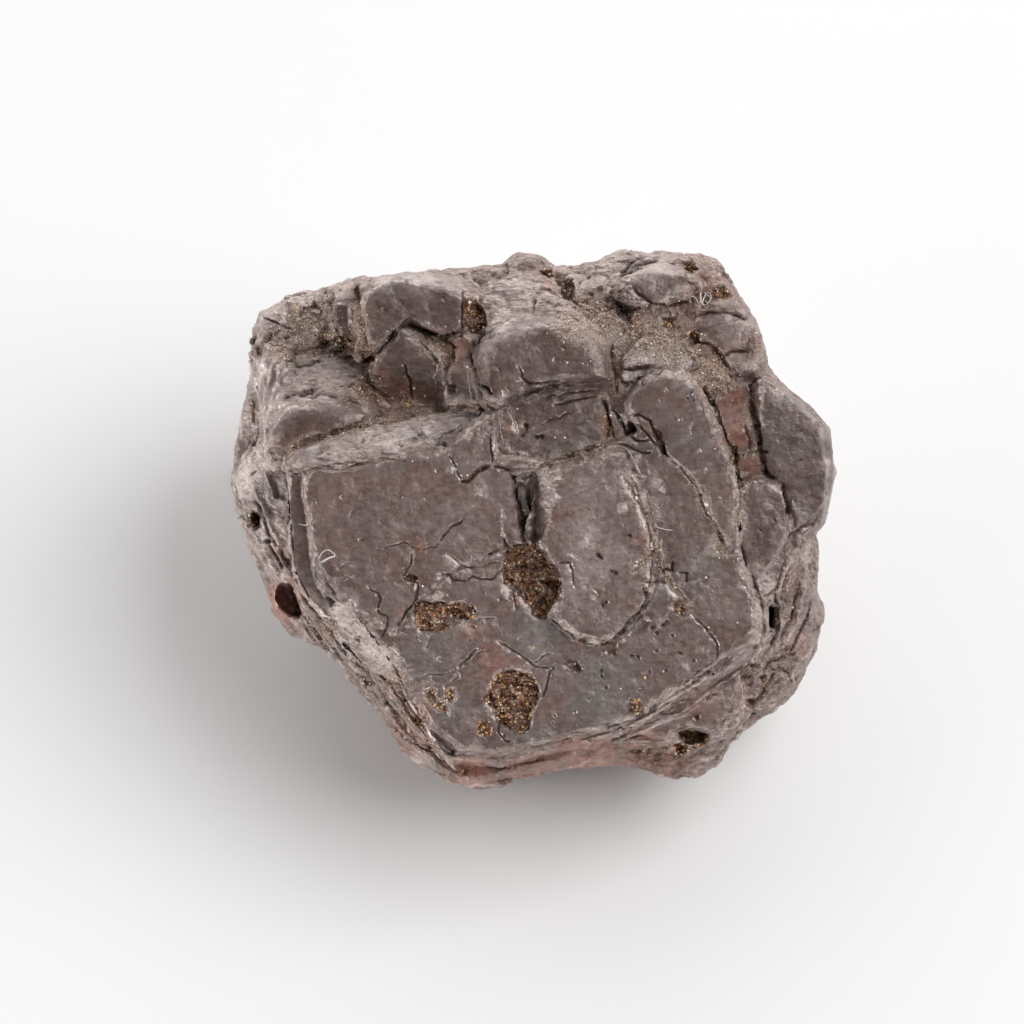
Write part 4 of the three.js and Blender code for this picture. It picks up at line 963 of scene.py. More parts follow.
def weather(skin):
    """The wear of wind and sand all over the skin, in millimetres."""
    rough = 1 - skin.polish
    at = skin.points
    swell = unevenness(at, SWELLS[0], 11)
    lumps = unevenness(at, LUMPS[0], 12)
    knobs = unevenness(at * WIND_DRAWN, KNOBS[0], 13)
    grit = unevenness(at * WIND_DRAWN, GRIT[0], 14)
    bend = np.stack([lumps, knobs, swell], axis=1)
    _, _, blocks = crystals(at + 0.35 * bend, BLOCKS[0], 18)
    _, _, splinters = crystals(at + 0.35 * bend, SPLINTERS[0], 19)
    lift = standing(SWELLS, rough) * swell
    lift += standing(LUMPS, rough) * lumps
    lift += standing(KNOBS, rough) * (0.4 - np.abs(knobs)) * 1.4
    lift += standing(GRIT, rough) * grit
    lift += standing(BLOCKS, rough) * blocks
    lift += standing(SPLINTERS, rough) * splinters
    level = 2.6 * unevenness(at, 4.2, 15) + 0.9 * unevenness(at, 1.4, 16)
    lift += TERRACE * skin.polish * (np.floor(level) + smooth(0.88, 1.0, level - np.floor(level)))
    first, second, _ = crystals(at + 0.5 * bend, BACK_BLOCK, 17)
    behind = 1 - skin.front
    lift -= BACK_JOINT * behind * smooth(0.05, 0.0, second - first)
    lift += BACK_RISE * behind * (0.6 - first)
    return lift


skin = Surface(stone.data)
settle(skin)
skin.points += skin.normals * (carve(skin) + weather(skin))[:, None] + flatten(skin)[:, None] * FACE_W
skin.points[:, 2] = np.maximum(skin.points[:, 2], 0.0)
stone.data.vertices.foreach_set("co", (skin.points * MM).astype(np.float32).ravel())
stone.data.update()
skin.normals = read(stone.data.vertex_normals, "vector")

# --------------------------------------------------------------------------------------------------
# The stone's finish. Polished brown-grey ironstone with a dull gloss, cooler grey where it is purest
# and rust red where it has weathered. Dust and sand keep to the hollows, and edges are worn paler with
# painted highlights. Painted shade darkens the cracks, pits, creases and dark spots.
RUST = (
    ((4, -18.1), 1.6, 1.0), ((2.8, -17.8), 1.2, 1.0), ((5.6, -17.4), 1.2, 0.9), ((-2.6, -11), 1.4, 0.5),
    ((-0.4, -14), 1.2, 0.4), ((1.6, -4.8), 0.6, 0.5), ((-10.4, -6.6), 0.6, 0.4),
    ((-14.4, 4), 1.4, 0.18), ((-16, 2.4), 1.4, 0.15), ((-8.8, 4), 1.6, 0.15), ((8.8, -5.6), 1.4, 0.15),
    ((2.4, 0.8), 1.2, 0.12), ((-12.4, 11.6), 1.6, 0.9), ((-10.4, 10.8), 1.6, 0.9),
    ((-8, 10.8), 1.2, 0.6), ((-3.2, -10), 1.2, 0.4), ((-19.2, 6.8), 1.2, 0.3), ((-16.8, 7.6), 1.2, 0.3),
    ((12.8, 17.2), 2.0, 0.5), ((14.4, 18.4), 1.6, 0.5), ((14.8, 14.8), 2.0, 0.5), ((14, 12), 1.2, 0.5),
    ((17.6, 14.4), 1.2, 0.4), ((8.8, -18.6), 2.2, 0.8), ((11.2, -18.8), 1.6, 0.8),
    ((8.8, -16.4), 1.4, 0.4), ((13.6, -13.6), 1.6, 0.3), ((16.8, -12.8), 1.2, 0.3),
    ((-9.2, -14.8), 1.6, 0.6), ((-10.4, -12.8), 1.2, 0.4), ((-1.6, -12.4), 1.4, 0.4),
    ((20, -7.6), 1.0, 0.4), ((20.4, -11.2), 1.2, 0.3), ((4.8, 11.6), 1.0, 0.4),
    ((-0.8, -19.6), 2.0, 1.0), ((5.6, -18.1), 1.8, 0.9), ((-5.6, -19.4), 1.6, 0.9),
    ((-10.4, -16.4), 1.6, 0.6), ((-6.2, 14.6), 1.3, 0.8), ((-8, 15.2), 1.1, 0.5),
    ((16.4, 10), 1.6, 0.75), ((16.6, 7.8), 1.5, 0.75), ((17.8, 5), 1.3, 0.7), ((9.2, 16.6), 1.2, 1.0),
    ((2, 20), 1.3, 0.8), ((14.2, 19.4), 1.5, 0.7), ((15.5, 18.9), 1.0, 0.6), ((12.8, 21.3), 0.9, 0.5),
    ((-4, -19.4), 1.6, 0.9), ((0.8, -19.2), 2.0, 0.9), ((3.4, -18.7), 1.5, 0.7),
    ((8.8, -17.2), 1.4, 0.6), ((11.4, -18.9), 2.2, 0.5), ((21.2, -9.6), 1.4, 0.5),
    ((20.6, -4), 0.8, 0.5), ((-8.8, -17), 1.6, 0.5), ((-1.6, 8.4), 0.8, 0.5), ((6.1, 8.4), 0.9, 0.8),
    ((-19.7, -5.8), 2.0, 1.0), ((-20.2, -1.8), 0.9, 0.7), ((-22.1, 0.7), 0.7, 0.8),
    ((-19.5, -2.9), 0.8, 0.6), ((-0.8, -5.6), 0.5, 0.6), ((-8.8, -1.4), 0.4, 0.8),
    ((-4.5, -8.2), 0.8, 0.6), ((-2.1, -6.5), 0.3, 1.0), ((4, -9.2), 0.6, 0.4), ((13, 15.5), 0.7, 0.5),
    ((-13, 13.8), 0.9, 0.6), ((-16, 14.7), 1.2, 0.4), ((-4.4, 12.6), 0.9, 0.4), ((9.2, -0.8), 0.7, 0.4),
)
COOL = (
    ((-0.6, 2.4), 0.6, 1.0), ((4.6, 8), 1.1, 0.8), ((0.8, -8.4), 2.3, 0.8), ((-8, -10), 2.2, 0.7),
    ((5.6, -12.8), 3.4, 0.8), ((-6.4, -14.7), 1.3, 0.9), ((0, -17.2), 2.2, 0.8),
    ((13.6, -2.8), 1.8, 0.5), ((20, 7.2), 2.4, 0.5), ((10, -5.6), 1.2, 0.6), ((-17, -3.6), 1.2, 0.5),
    ((12.8, 7.2), 2.0, 0.4),
)
# Paler spots on the slopes, the chamfer at the lower left and the edges: partly worn, pale surface and
# partly painted highlight where these slopes catch the light.
PALE_WEAR_AND_HIGHLIGHT = (
    ((-18.4, 17.2), 1.3, 0.6), ((-17.8, 15.6), 1.3, 0.6), ((-19.2, 16), 1.2, 0.4),
    ((-10.8, 7.2), 1.2, 1.0), ((-8.4, 7.8), 1.2, 1.0), ((-6, 9), 1.2, 1.0), ((-4.4, 9.4), 1.0, 0.9),
    ((6.6, 15.6), 1.4, 0.4), ((8.8, 14.6), 1.4, 0.4), ((5.6, 16.8), 1.2, 0.3), ((2.6, 20.2), 1.2, 0.4),
    ((7.4, 20.6), 1.2, 0.4), ((10, 21.4), 1.2, 0.4), ((-22.4, 0.8), 1.3, 0.5),
    ((-21.4, -1.2), 1.3, 0.5), ((-20.2, -3), 1.2, 0.5), ((-18.4, -5.6), 1.2, 0.3),
    ((-14.8, -9), 1.0, 0.5), ((2.4, 7.2), 1.2, 0.15), ((0, 8), 1.0, 0.15), ((19.6, -8.8), 1.4, 0.35),
    ((20.8, -10.8), 1.2, 0.35), ((18.8, -11), 1.2, 0.3), ((22.4, -1.8), 1.0, 0.6),
    ((17.2, -0.8), 0.9, 0.3), ((18.4, -6.8), 1.0, 0.3), ((0.4, -9.2), 1.6, 0.12),
    ((-6.4, 0.8), 2.4, 0.08), ((16.6, 8.8), 1.2, 0.25), ((0.4, 0.8), 0.8, 0.15),
    ((2.4, -5.2), 1.6, 0.12), ((-8.8, -18.4), 0.8, 0.3), ((-19.6, 14), 1.2, 0.6),
    ((-18.4, 12.6), 1.6, 0.6), ((-16, 12.8), 1.6, 0.5), ((-20.4, 10.8), 1.0, 0.6),
    ((-21.8, 12.8), 1.0, 0.5), ((-11, 20.3), 1.6, 0.4), ((-0.8, 18.4), 2.0, 0.5),
    ((-2.4, 16.8), 1.2, 0.5), ((-8.8, 20), 1.4, 0.4), ((-14.8, 19.2), 1.0, 0.5),
    ((-18.4, 18.4), 1.4, 0.4), ((-20.8, 18), 1.2, 0.4), ((6.4, 21.2), 1.4, 0.3),
    ((-14.4, -5.6), 0.8, 0.6), ((-15.5, -6.1), 0.9, 0.8), ((-9.4, -12.8), 0.9, 0.5),
    ((5.6, -2), 2.6, 0.22), ((3.2, -4.8), 1.8, 0.18), ((4.8, 2.4), 2.2, 0.12), ((24.2, 6), 1.1, 0.5),
    ((24.3, 3.6), 1.1, 0.5), ((-6.2, 8.8), 1.4, 0.3), ((2.1, 18.4), 1.8, 0.25), ((8.8, 21.4), 1.4, 0.3),
    ((15.2, 16.8), 1.0, 0.4), ((10, 16), 1.4, 0.4), ((-16.8, 6.4), 1.3, 0.4), ((-14.8, 6.9), 1.4, 0.6),
    ((-12.6, 7.4), 1.4, 0.9), ((-10.4, 7.8), 1.4, 0.9), ((-8.2, 8.5), 1.4, 0.9), ((-6, 9), 1.3, 0.8),
    ((-4.2, 9.4), 1.0, 0.6), ((-14.9, -6.9), 1.1, 0.9), ((-13.9, -8.2), 1.1, 0.9),
    ((-12.8, -9.4), 1.1, 0.9), ((-11.4, -10.6), 1.1, 0.9), ((-10.2, -11.7), 0.9, 0.7),
    ((-21.9, 5.4), 1.4, 0.8), ((-22.7, 4), 1.2, 0.8), ((-22.2, 2.2), 1.0, 0.6), ((-21.4, 6), 1.2, 0.7),
    ((-17.6, 12.6), 1.8, 0.5), ((-15.6, 11.8), 1.5, 0.45), ((-18.7, 11.5), 1.4, 0.4),
    ((-7.7, 14.4), 1.0, 0.5), ((-9, 15.5), 0.8, 0.5), ((17.8, -3.6), 1.2, 0.3),
    ((10.4, 14.8), 1.8, 0.35), ((8, 14.4), 1.4, 0.3), ((12.8, 12.4), 1.4, 0.3),
)
# Darker spots: partly darker ore and partly painted shade, as in the slot and in the line of painted shadow
# under the upper block's lower edge.
DARK_AND_SHADED = (
    ((-1.2, 3), 0.25, 1.0), ((-1, 1.8), 0.25, 1.0), ((-0.7, 0.6), 0.3, 1.0), ((-0.6, -0.4), 0.4, 1.0),
    ((-0.1, 2.9), 0.3, 1.0), ((0.2, 1.8), 0.3, 1.0), ((0.1, 0.6), 0.4, 1.0), ((-0.1, -0.4), 0.5, 0.9),
    ((0.9, 3.2), 0.9, 0.4), ((1, 2), 0.9, 0.4), ((0.7, 0.6), 0.7, 0.4), ((-1.4, 4.3), 0.3, 0.4),
    ((-18.4, 6.4), 1.0, 0.6), ((-16.8, 6.8), 1.0, 0.6), ((-15, 7.4), 1.0, 0.5), ((-20, 6.6), 0.8, 0.5),
    ((-12.8, 11.6), 1.1, 0.9), ((-11.2, 11), 1.2, 0.9), ((-10, 10.4), 0.9, 0.6), ((-3.6, 12), 0.9, 0.9),
    ((-3, 11.2), 0.8, 0.8), ((2.8, 14.8), 0.8, 0.5), ((3.8, 13.4), 0.8, 0.7), ((4.8, 11.4), 1.2, 0.8),
    ((7, 10.4), 1.0, 0.9), ((9.6, -2.2), 1.2, 0.5), ((10.8, -3.6), 1.2, 0.45), ((-10, -11.2), 1.0, 0.6),
    ((-9.4, -12.8), 1.0, 0.6), ((-6.4, -16.6), 1.6, 0.4), ((-2.4, -16.4), 1.6, 0.35),
    ((1.6, -16.6), 1.4, 0.3), ((14.6, 16.4), 1.4, 0.9), ((15.8, 15.4), 1.2, 0.9),
    ((17.2, 14), 1.2, 0.8), ((12.8, 17.4), 1.0, 0.5), ((-15.2, -4.8), 1.0, 0.5),
    ((-16, -3.6), 0.8, 0.5), ((15.6, -12.4), 0.9, 0.7), ((9.6, -18.6), 1.4, 0.5),
    ((12, -18.6), 1.2, 0.5), ((23.8, 6.4), 1.0, 0.9), ((23.8, 3.6), 1.1, 0.9), ((22.8, 1.4), 1.0, 0.7),
    ((12.8, -4.8), 1.4, 0.2), ((-3.6, -14), 0.8, 0.4), ((-1.2, 18.4), 1.0, 0.4),
    ((-6, -19.4), 0.6, 0.5), ((-3, -18.7), 0.7, 0.5), ((0, -18.9), 0.7, 0.4), ((2.4, -18.1), 0.8, 0.4),
    ((4.4, -17.8), 0.6, 0.4), ((9.6, 17.1), 1.0, 0.5), ((11.4, 16.6), 0.8, 0.6),
    ((-6.4, 12.6), 1.2, 0.4), ((0.8, 14.4), 3.2, 0.6), ((-2.4, 13.6), 2.0, 0.5),
    ((4.8, 13.2), 2.2, 0.6), ((2.4, 9.2), 3.2, 0.5), ((4.8, 8), 2.0, 0.4), ((-2.4, -19.2), 1.6, 0.4),
    ((2.4, -18.8), 1.8, 0.35), ((7.2, -17.6), 1.4, 0.3), ((-1.4, 10.7), 0.7, 0.9),
    ((0, 11.1), 0.8, 0.9), ((1.6, 11.4), 0.8, 0.9), ((3.2, 11.6), 0.8, 0.9), ((5, 11.8), 0.8, 0.9),
    ((6.2, 11.6), 0.9, 0.9), ((-4.2, 12.8), 0.9, 0.8), ((-4.5, 14.4), 0.8, 0.8),
    ((-3.7, 10.8), 0.8, 0.7), ((-14.8, 15.4), 0.9, 0.8), ((-12.6, 12.6), 0.7, 0.7),
    ((-13.8, 18.4), 0.5, 0.5), ((-5.4, 17.4), 0.6, 0.6), ((7.2, 18), 0.9, 0.8), ((8.4, 17.1), 0.9, 0.7),
    ((13.6, 16), 0.8, 0.8), ((15.4, 13.6), 0.8, 0.7), ((7.2, 11), 0.8, 0.8), ((20.8, 1.6), 0.5, 0.7),
    ((8.8, 12.6), 0.8, 0.6), ((20.8, 8.8), 2.2, 0.5), ((22.4, 4), 2.4, 0.5), ((19.6, 2.4), 2.0, 0.4),
    ((18.8, -0.8), 1.8, 0.3), ((-7.2, 16), 1.4, 0.6), ((-13.2, 16), 1.0, 0.6),
    ((-12.4, 14.4), 1.2, 0.6), ((-8.4, 11.6), 1.6, 0.6), ((-10.8, 11.6), 1.6, 0.6),
    ((21.3, -5.6), 1.5, 0.4), ((-18.6, 1.6), 1.0, 0.3), ((-18.4, -2), 1.0, 0.3), ((-20.4, 2), 1.4, 0.6),
    ((-14.8, 14.4), 1.2, 0.7), ((-10.4, 18.4), 2.2, 0.6), ((-7.7, 17.9), 2.2, 0.6),
    ((-12, 17), 1.5, 0.6), ((-10, 13), 2.4, 0.7), ((1.2, 14.2), 2.8, 0.4), ((4.8, 14), 2.0, 0.4),
    ((-2, 13.4), 1.8, 0.4), ((21.6, 5.6), 3.0, 0.3), ((-18.4, 7.8), 2.2, 0.6), ((-15.6, 8.8), 1.8, 0.5),
    ((-14.8, 16.8), 1.3, 0.9), ((-11.6, 15), 1.3, 0.6), ((-6.4, 16), 1.2, 0.6),
    ((-5.6, 11.8), 1.2, 0.4), ((-4, 12), 1.2, 0.4), ((8.8, 10.8), 1.6, 0.3), ((9.6, 6.8), 1.8, 0.4),
    ((15.6, 15.2), 1.8, 0.5), ((14, 14.4), 1.2, 0.6), ((17.2, 13.2), 1.4, 0.4),
    ((10.4, 19.2), 1.8, 0.3), ((12.8, 15.2), 1.0, 0.6), ((-16, 15.2), 1.2, 0.7),
    ((-12.8, 13.8), 1.0, 0.8), ((6.4, 10.4), 1.0, 0.6), ((0.8, 2.4), 1.2, 0.3),
    ((-20.8, 2.4), 1.6, 0.4), ((-20.4, 11.6), 1.0, 0.4),
)
DUST = (
    ((-18.6, 17), 1.0, 0.8), ((-17, 17.4), 0.8, 0.7), ((-13.6, 16), 0.5, 0.9),
    ((-14.2, 14.8), 0.5, 0.9), ((-17.6, 16), 2.0, 0.8), ((-19.6, 14.4), 1.2, 0.8),
    ((-15.2, 14.8), 1.0, 0.6), ((5.6, 16.8), 2.2, 0.8), ((8.8, 15.6), 2.0, 0.8),
    ((11.6, 14.8), 1.8, 0.8), ((14.8, 12.6), 1.8, 0.8), ((4, 18.4), 0.9, 0.6), ((-10, 10), 1.0, 0.5),
    ((-13.4, 11), 1.2, 0.5), ((15.2, -1.2), 0.9, 0.8), ((16.6, 0.8), 0.7, 0.6), ((-16, -8), 1.0, 0.5),
    ((-10.8, -11.8), 1.0, 0.5), ((10, -1.6), 0.6, 0.7), ((8.8, -2.6), 0.5, 0.6), ((3, 16.4), 1.2, 0.7),
    ((-6.4, 13.6), 1.0, 0.5), ((-8, 14.8), 1.0, 0.5),
)


def eased(mesh, points, rounds):
    """The points after each has moved this many times to the middle of its neighbours."""
    pairs = np.empty(len(mesh.edges) * 2, np.int32)
    mesh.edges.foreach_get("vertices", pairs)
    one, other = pairs.reshape(-1, 2).T
    count = np.bincount(pairs, minlength=len(points))[:, None]
    for _ in range(rounds):
        total = np.empty_like(points)
        for axis in range(3):
            total[:, axis] = np.bincount(one, points[other, axis], len(points))
            total[:, axis] += np.bincount(other, points[one, axis], len(points))
        points = total / count
    return points


def raise_to(values, spot, level):
    """Raises the values at these points to this level, where they are lower."""
    values[spot] = np.maximum(values[spot], level)


def keep(mesh, name, values):
    mesh.attributes.new(name, "FLOAT", "POINT").data.foreach_set("value", values.astype(np.float32))


# Where each mark begins and is full: millimetres of hollow, of edge, or inside an outline.
CLOSE_HOLLOW = (0.02, 0.12)
BROAD_HOLLOW = (0.05, 0.26)
SANDY_HOLLOW = (0.08, 0.3)
CLOSE_EDGE = (0.015, 0.09)
BROAD_EDGE = (0.045, 0.22)
PIT_FLOOR = (-0.05, 0.15)
RIM_BESIDE = (0.17, 0.02)
TURNED_UP_THE_FACE = (0.1, 0.8)
CLOSE_ROUNDS = 4
BROAD_ROUNDS = 20

# Painted shade for the open cracks, less where sand fills them, for the floors and inner rims of the pits
# and for the pores. Sand and rust are gathered beside it as their own colours.
hollow = np.zeros(len(skin.points))
sandy = blotch(skin.places, DUST, skin.points, 21)
rusty = blotch(skin.places, RUST, skin.points, 23)
for line, wide, deep, _, fill in CRACKS:
    spot = near(skin.places, line, wide)
    gap, _, along, _ = along_line(skin.places[spot], line)
    ends = tapered(along, CRACK_TAPER)
    shade = ends * smooth(0.31 * wide + 0.11, 0.1 * wide, gap) * min(0.92, 0.12 + 1.4 * deep)
    raise_to(hollow, spot, shade * (1 - 0.6 * fill))
    raise_to(sandy, spot, fill * smooth(0.7 * wide + 0.1, 0.15 * wide, gap))
for outline, deep, _, rust in PITS:
    spot = near(skin.places, outline, EDGE_ROOM)
    inside = within(skin.places[spot], outline)
    share = smooth(*PIT_FLOOR, inside)
    raise_to(hollow, spot, share * (0.45 - 0.35 * rust))
    raise_to(hollow, spot, 0.7 * smooth(-0.12, 0.02, inside) * smooth(0.3, 0.1, inside))
    raise_to(rusty, spot, share * rust)
for place, wide, deep in DENTS:
    spot = near(skin.places, place[None], wide)
    gap = np.linalg.norm(skin.places[spot] - place, axis=1)
    raise_to(hollow, spot, smooth(0.62 * wide, 0.3 * wide, gap) * min(0.85, 0.3 + 2 * deep))

# The ridges' crests get pale lines, partly worn edge and partly painted highlight.
ridge_highlights = np.zeros(len(skin.points))
for line, wide, high in RIDGES:
    spot = near(skin.places, line, wide)
    gap, _, along, _ = along_line(skin.places[spot], line)
    ends = tapered(along, RIDGE_TAPER)
    raise_to(ridge_highlights, spot, ends * smooth(*RIM_BESIDE, gap))

close = np.einsum("ij,ij->i", eased(stone.data, skin.points, CLOSE_ROUNDS) - skin.points, skin.normals)
broad = np.einsum("ij,ij->i", eased(stone.data, skin.points, BROAD_ROUNDS) - skin.points, skin.normals)
matt = 1 - skin.polish
# Painted shade in the creases and broad hollows of the skin, from how far each point lies below its smoothed
# neighbours; less on polished faces and on rust, and none on ridge crests.
sunk_shade = smooth(*CLOSE_HOLLOW, close) * (0.25 + 0.75 * matt)
sunk_shade += 0.7 * smooth(*BROAD_HOLLOW, broad) * (0.35 + 0.65 * matt) * (1 - 0.6 * rusty)
keep(stone.data, "hollow", np.clip(hollow + sunk_shade, 0, 1) * (1 - ridge_highlights))
# Convex edges and ridge crests are paler: partly real wear, partly painted highlight.
edges = smooth(*CLOSE_EDGE, -close) * matt + 0.5 * smooth(*BROAD_EDGE, -broad) * (0.2 + 0.8 * matt)
keep(stone.data, "worn", np.clip(edges + ridge_highlights, 0, 1))
keep(stone.data, "dark_and_shaded", blotch(skin.places, DARK_AND_SHADED, skin.points, 29))
keep(stone.data, "pale_wear_and_highlight", blotch(skin.places, PALE_WEAR_AND_HIGHLIGHT, skin.points, 27))
keep(stone.data, "sandy", np.clip(sandy + 0.4 * smooth(*SANDY_HOLLOW, broad), 0, 1))
keep(stone.data, "rusty", rusty)
keep(stone.data, "cool", blotch(skin.places, COOL, skin.points, 25))
keep(stone.data, "polish", skin.polish)
# Matt slopes that turn up the broad face, which are given a paler tint.
keep(stone.data, "upturned_matt", smooth(*TURNED_UP_THE_FACE, skin.normals @ FACE_V) * matt)

# The skin is thinned, first where it is turned away from the carved front, then where it is plain. Its
# joints, ridges and the edges of its plates and pits stay fine.
BEHIND_TRIANGLES = 34000
MOST_TRIANGLES = 197000
FINE_BESIDE = 0.22  # how far beside a joint the skin stays fine
UNCARVED = 0.05  # the skin counts as behind where less than this share of the carving is left
SHARP = math.radians(28)


def triangles(mesh):
    return sum(len(polygon.vertices) - 2 for polygon in mesh.polygons)


def thin(body, target, group=""):
    thinning = body.modifiers.new("thinning", "DECIMATE")
    thinning.ratio = target / triangles(body.data)
    thinning.vertex_group = group
    bpy.ops.object.modifier_apply(modifier=thinning.name)


joints = np.zeros(len(skin.points), bool)
for outline, *_ in CRACKS + RIDGES + PITS + PLATES + FACETS:
    spot = near(skin.places, outline, FINE_BESIDE)
    is_open = any(outline is line for line, *_ in CRACKS + RIDGES)
    edges = outline if is_open else closed(outline)
    joints[spot[along_line(skin.places[spot], edges)[0] < FINE_BESIDE]] = True
behind = np.nonzero(skin.front < UNCARVED)[0]
stone.vertex_groups.new(name="turned away").add(behind.tolist(), 1.0, "REPLACE")
stone.vertex_groups.new(name="plain").add(np.nonzero(~joints)[0].tolist(), 1.0, "REPLACE")
before = triangles(stone.data)
share_behind = len(behind) / len(skin.points)
thin(stone, before * (1 - share_behind) + BEHIND_TRIANGLES, "turned away")
thin(stone, MOST_TRIANGLES, "plain")
stone.vertex_groups.clear()
bpy.ops.object.shade_smooth_by_angle(angle=SHARP)


def part_of(tree, kind, feeds=None, **settings):
    """A shader node with these settings, its sockets fed by numbers, colours or other sockets."""
    made = tree.nodes.new(kind)
    for name, value in settings.items():
        setattr(made, name, value)
    for socket, value in (feeds or {}).items():
        if isinstance(value, bpy.types.NodeSocket):
            tree.links.new(value, made.inputs[socket])
        else:
            made.inputs[socket].default_value = value
    return made


def attribute(tree, name):
    return part_of(tree, "ShaderNodeAttribute", attribute_name=name).outputs["Fac"]


def speckle(tree, size, detail=2.0, rough=0.5, stretch=(1, 1, 1)):
    """Soft noise with grains of this size in millimetres."""
    place = part_of(tree, "ShaderNodeTexCoord").outputs["Object"]
    place = part_of(tree, "ShaderNodeVectorMath", {0: place, 1: stretch}, operation="MULTIPLY").outputs[0]
    feeds = {"Vector": place, "Scale": 1 / (size * MM), "Detail": detail, "Roughness": rough}
    return part_of(tree, "ShaderNodeTexNoise", feeds).outputs["Fac"]


def ranged(tree, value, low, high, least=0.0, most=1.0):
    feeds = {0: value, 1: low, 2: high, 3: least, 4: most}
    return part_of(tree, "ShaderNodeMapRange", feeds).outputs[0]


def reckon(tree, operation, *values):
    return part_of(tree, "ShaderNodeMath", dict(enumerate(values)), operation=operation).outputs[0]


def blend(tree, share, under, over, way="MIX"):
    feeds = {0: share, 6: under, 7: over}
    return part_of(tree, "ShaderNodeMix", feeds, data_type="RGBA", blend_type=way).outputs[2]


def between(tree, share, least, most):
    """A number between least and most, by a share from 0 to 1."""
    return ranged(tree, share, 0.0, 1.0, least, most)


def times(tree, one, other):
    return reckon(tree, "MULTIPLY", one, other)


def new_finish(name):
    """A material, its shader tree and the inputs of its shader."""
    finish = bpy.data.materials.new(name)
    finish.use_nodes = True
    return finish, finish.node_tree, finish.node_tree.nodes["Principled BSDF"].inputs


UMBER = (0.108, 0.064, 0.056, 1)
BROWN = (0.160, 0.107, 0.097, 1)
PALE_BROWN = (0.215, 0.143, 0.122, 1)
BLOOM_GREY = (0.125, 0.112, 0.112, 1)
STEEL_GREY = (0.130, 0.118, 0.112, 1)
RAW_BROWN = (0.084, 0.043, 0.034, 1)
FLECK = (0.30, 0.215, 0.185, 1)
DEEP_RED = (0.21, 0.085, 0.056, 1)
PALE_RED = (0.40, 0.200, 0.145, 1)
UPTURNED_PALE = (0.34, 0.245, 0.205, 1)
SCOURED_HIGHLIGHT = (0.64, 0.54, 0.51, 1)
RUBBED_HIGHLIGHT = (0.52, 0.42, 0.39, 1)
SHADED = (0.052, 0.029, 0.024, 1)
DARK_SAND = (0.058, 0.029, 0.018, 1)
PALE_SAND = (0.56, 0.39, 0.27, 1)
PAINTED_SHADE = (0.024, 0.013, 0.010, 1)
POLISHED_TINT = (1.0, 0.89, 0.85, 1)
ROUGH_TINT = (1.0, 0.85, 0.78, 1)
ORE_IOR = 2.5
GRAIN_RELIEF = 0.16 * MM


def ore_tone(tree, polish):
    """Fine and middling patches, lighter and darker than the rest, and weaker on a polished face."""
    least = between(tree, polish, 0.60, 0.82)
    most = between(tree, polish, 1.45, 1.20)
    fine = ranged(tree, speckle(tree, 0.30, 4.0, 0.68, (0.45, 1, 1)), 0.36, 0.64, least, most)
    least = between(tree, polish, 0.84, 0.90)
    most = between(tree, polish, 1.22, 1.09)
    middling = ranged(tree, speckle(tree, 0.9, 3.0, 0.6), 0.36, 0.64, least, most)
    return times(tree, fine, middling)


def ore_colour(tree, marks):
    """Brown ore, then its bloom, flecks and rust, a paler tint on upturned matt slopes, pale wear and worn
    edges with painted highlights, dark spots with painted shade, sand, and last painted shade in its
    hollows.
    """
    polish, mottle, tone = marks["polish"], marks["mottle"], marks["tone"]
    cloud = ranged(tree, speckle(tree, 3.0, 4.0, 0.6), 0.38, 0.64)
    grit = ranged(tree, speckle(tree, 0.16, 2.0), 0.42, 0.6)
    colour = blend(tree, cloud, UMBER, BROWN)
    colour = blend(tree, times(tree, mottle, 0.45), colour, PALE_BROWN)
    bloom = ranged(tree, speckle(tree, 1.5, 3.0, 0.6), 0.5, 0.62, 0.0, 0.38)
    colour = blend(tree, times(tree, bloom, polish), colour, BLOOM_GREY)
    colour = blend(tree, times(tree, marks["cool"], 0.8), colour, STEEL_GREY)
    colour = blend(tree, between(tree, polish, 0.45, 0.0), colour, RAW_BROWN)
    fleck = ranged(tree, speckle(tree, 0.24, 3.0, 0.75), 0.46, 0.60)
    matt = reckon(tree, "SUBTRACT", 1.0, polish)
    colour = blend(tree, times(tree, times(tree, fleck, matt), 0.4), colour, FLECK)
    red = blend(tree, mottle, DEEP_RED, PALE_RED)
    colour = blend(tree, times(tree, marks["rusty"], 0.8), colour, red)
    # A paler tint on the matt slopes that turn up the broad face.
    upturned_pale = times(tree, marks["upturned_matt"], between(tree, grit, 0.0, 0.5))
    colour = blend(tree, upturned_pale, colour, UPTURNED_PALE)
    # Pale wear, partly painted highlight.
    scoured_highlight = times(tree, marks["pale_wear_and_highlight"], between(tree, mottle, 0.5, 1.0))
    colour = blend(tree, scoured_highlight, colour, SCOURED_HIGHLIGHT)
    # Worn edges, partly painted highlight.
    rubbed_highlight = times(tree, marks["worn"], between(tree, mottle, 0.4, 0.9))
    colour = blend(tree, rubbed_highlight, colour, RUBBED_HIGHLIGHT)
    # Dark spots, partly painted shade.
    colour = blend(tree, times(tree, marks["dark_and_shaded"], 0.85), colour, SHADED)
    sanded = times(tree, marks["sandy"], between(tree, mottle, 0.45, 0.9))
    colour = blend(tree, sanded, colour, blend(tree, grit, DARK_SAND, PALE_SAND))
    shade = part_of(tree, "ShaderNodeCombineXYZ", {0: tone, 1: tone, 2: tone}).outputs[0]
    colour = blend(tree, 1.0, colour, shade, "MULTIPLY")
    # Painted shade in the hollows, less where sand lies.
    sunk_shade = times(tree, marks["hollow"], between(tree, marks["sandy"], 0.85, 0.2))
    return blend(tree, sunk_shade, colour, PAINTED_SHADE)


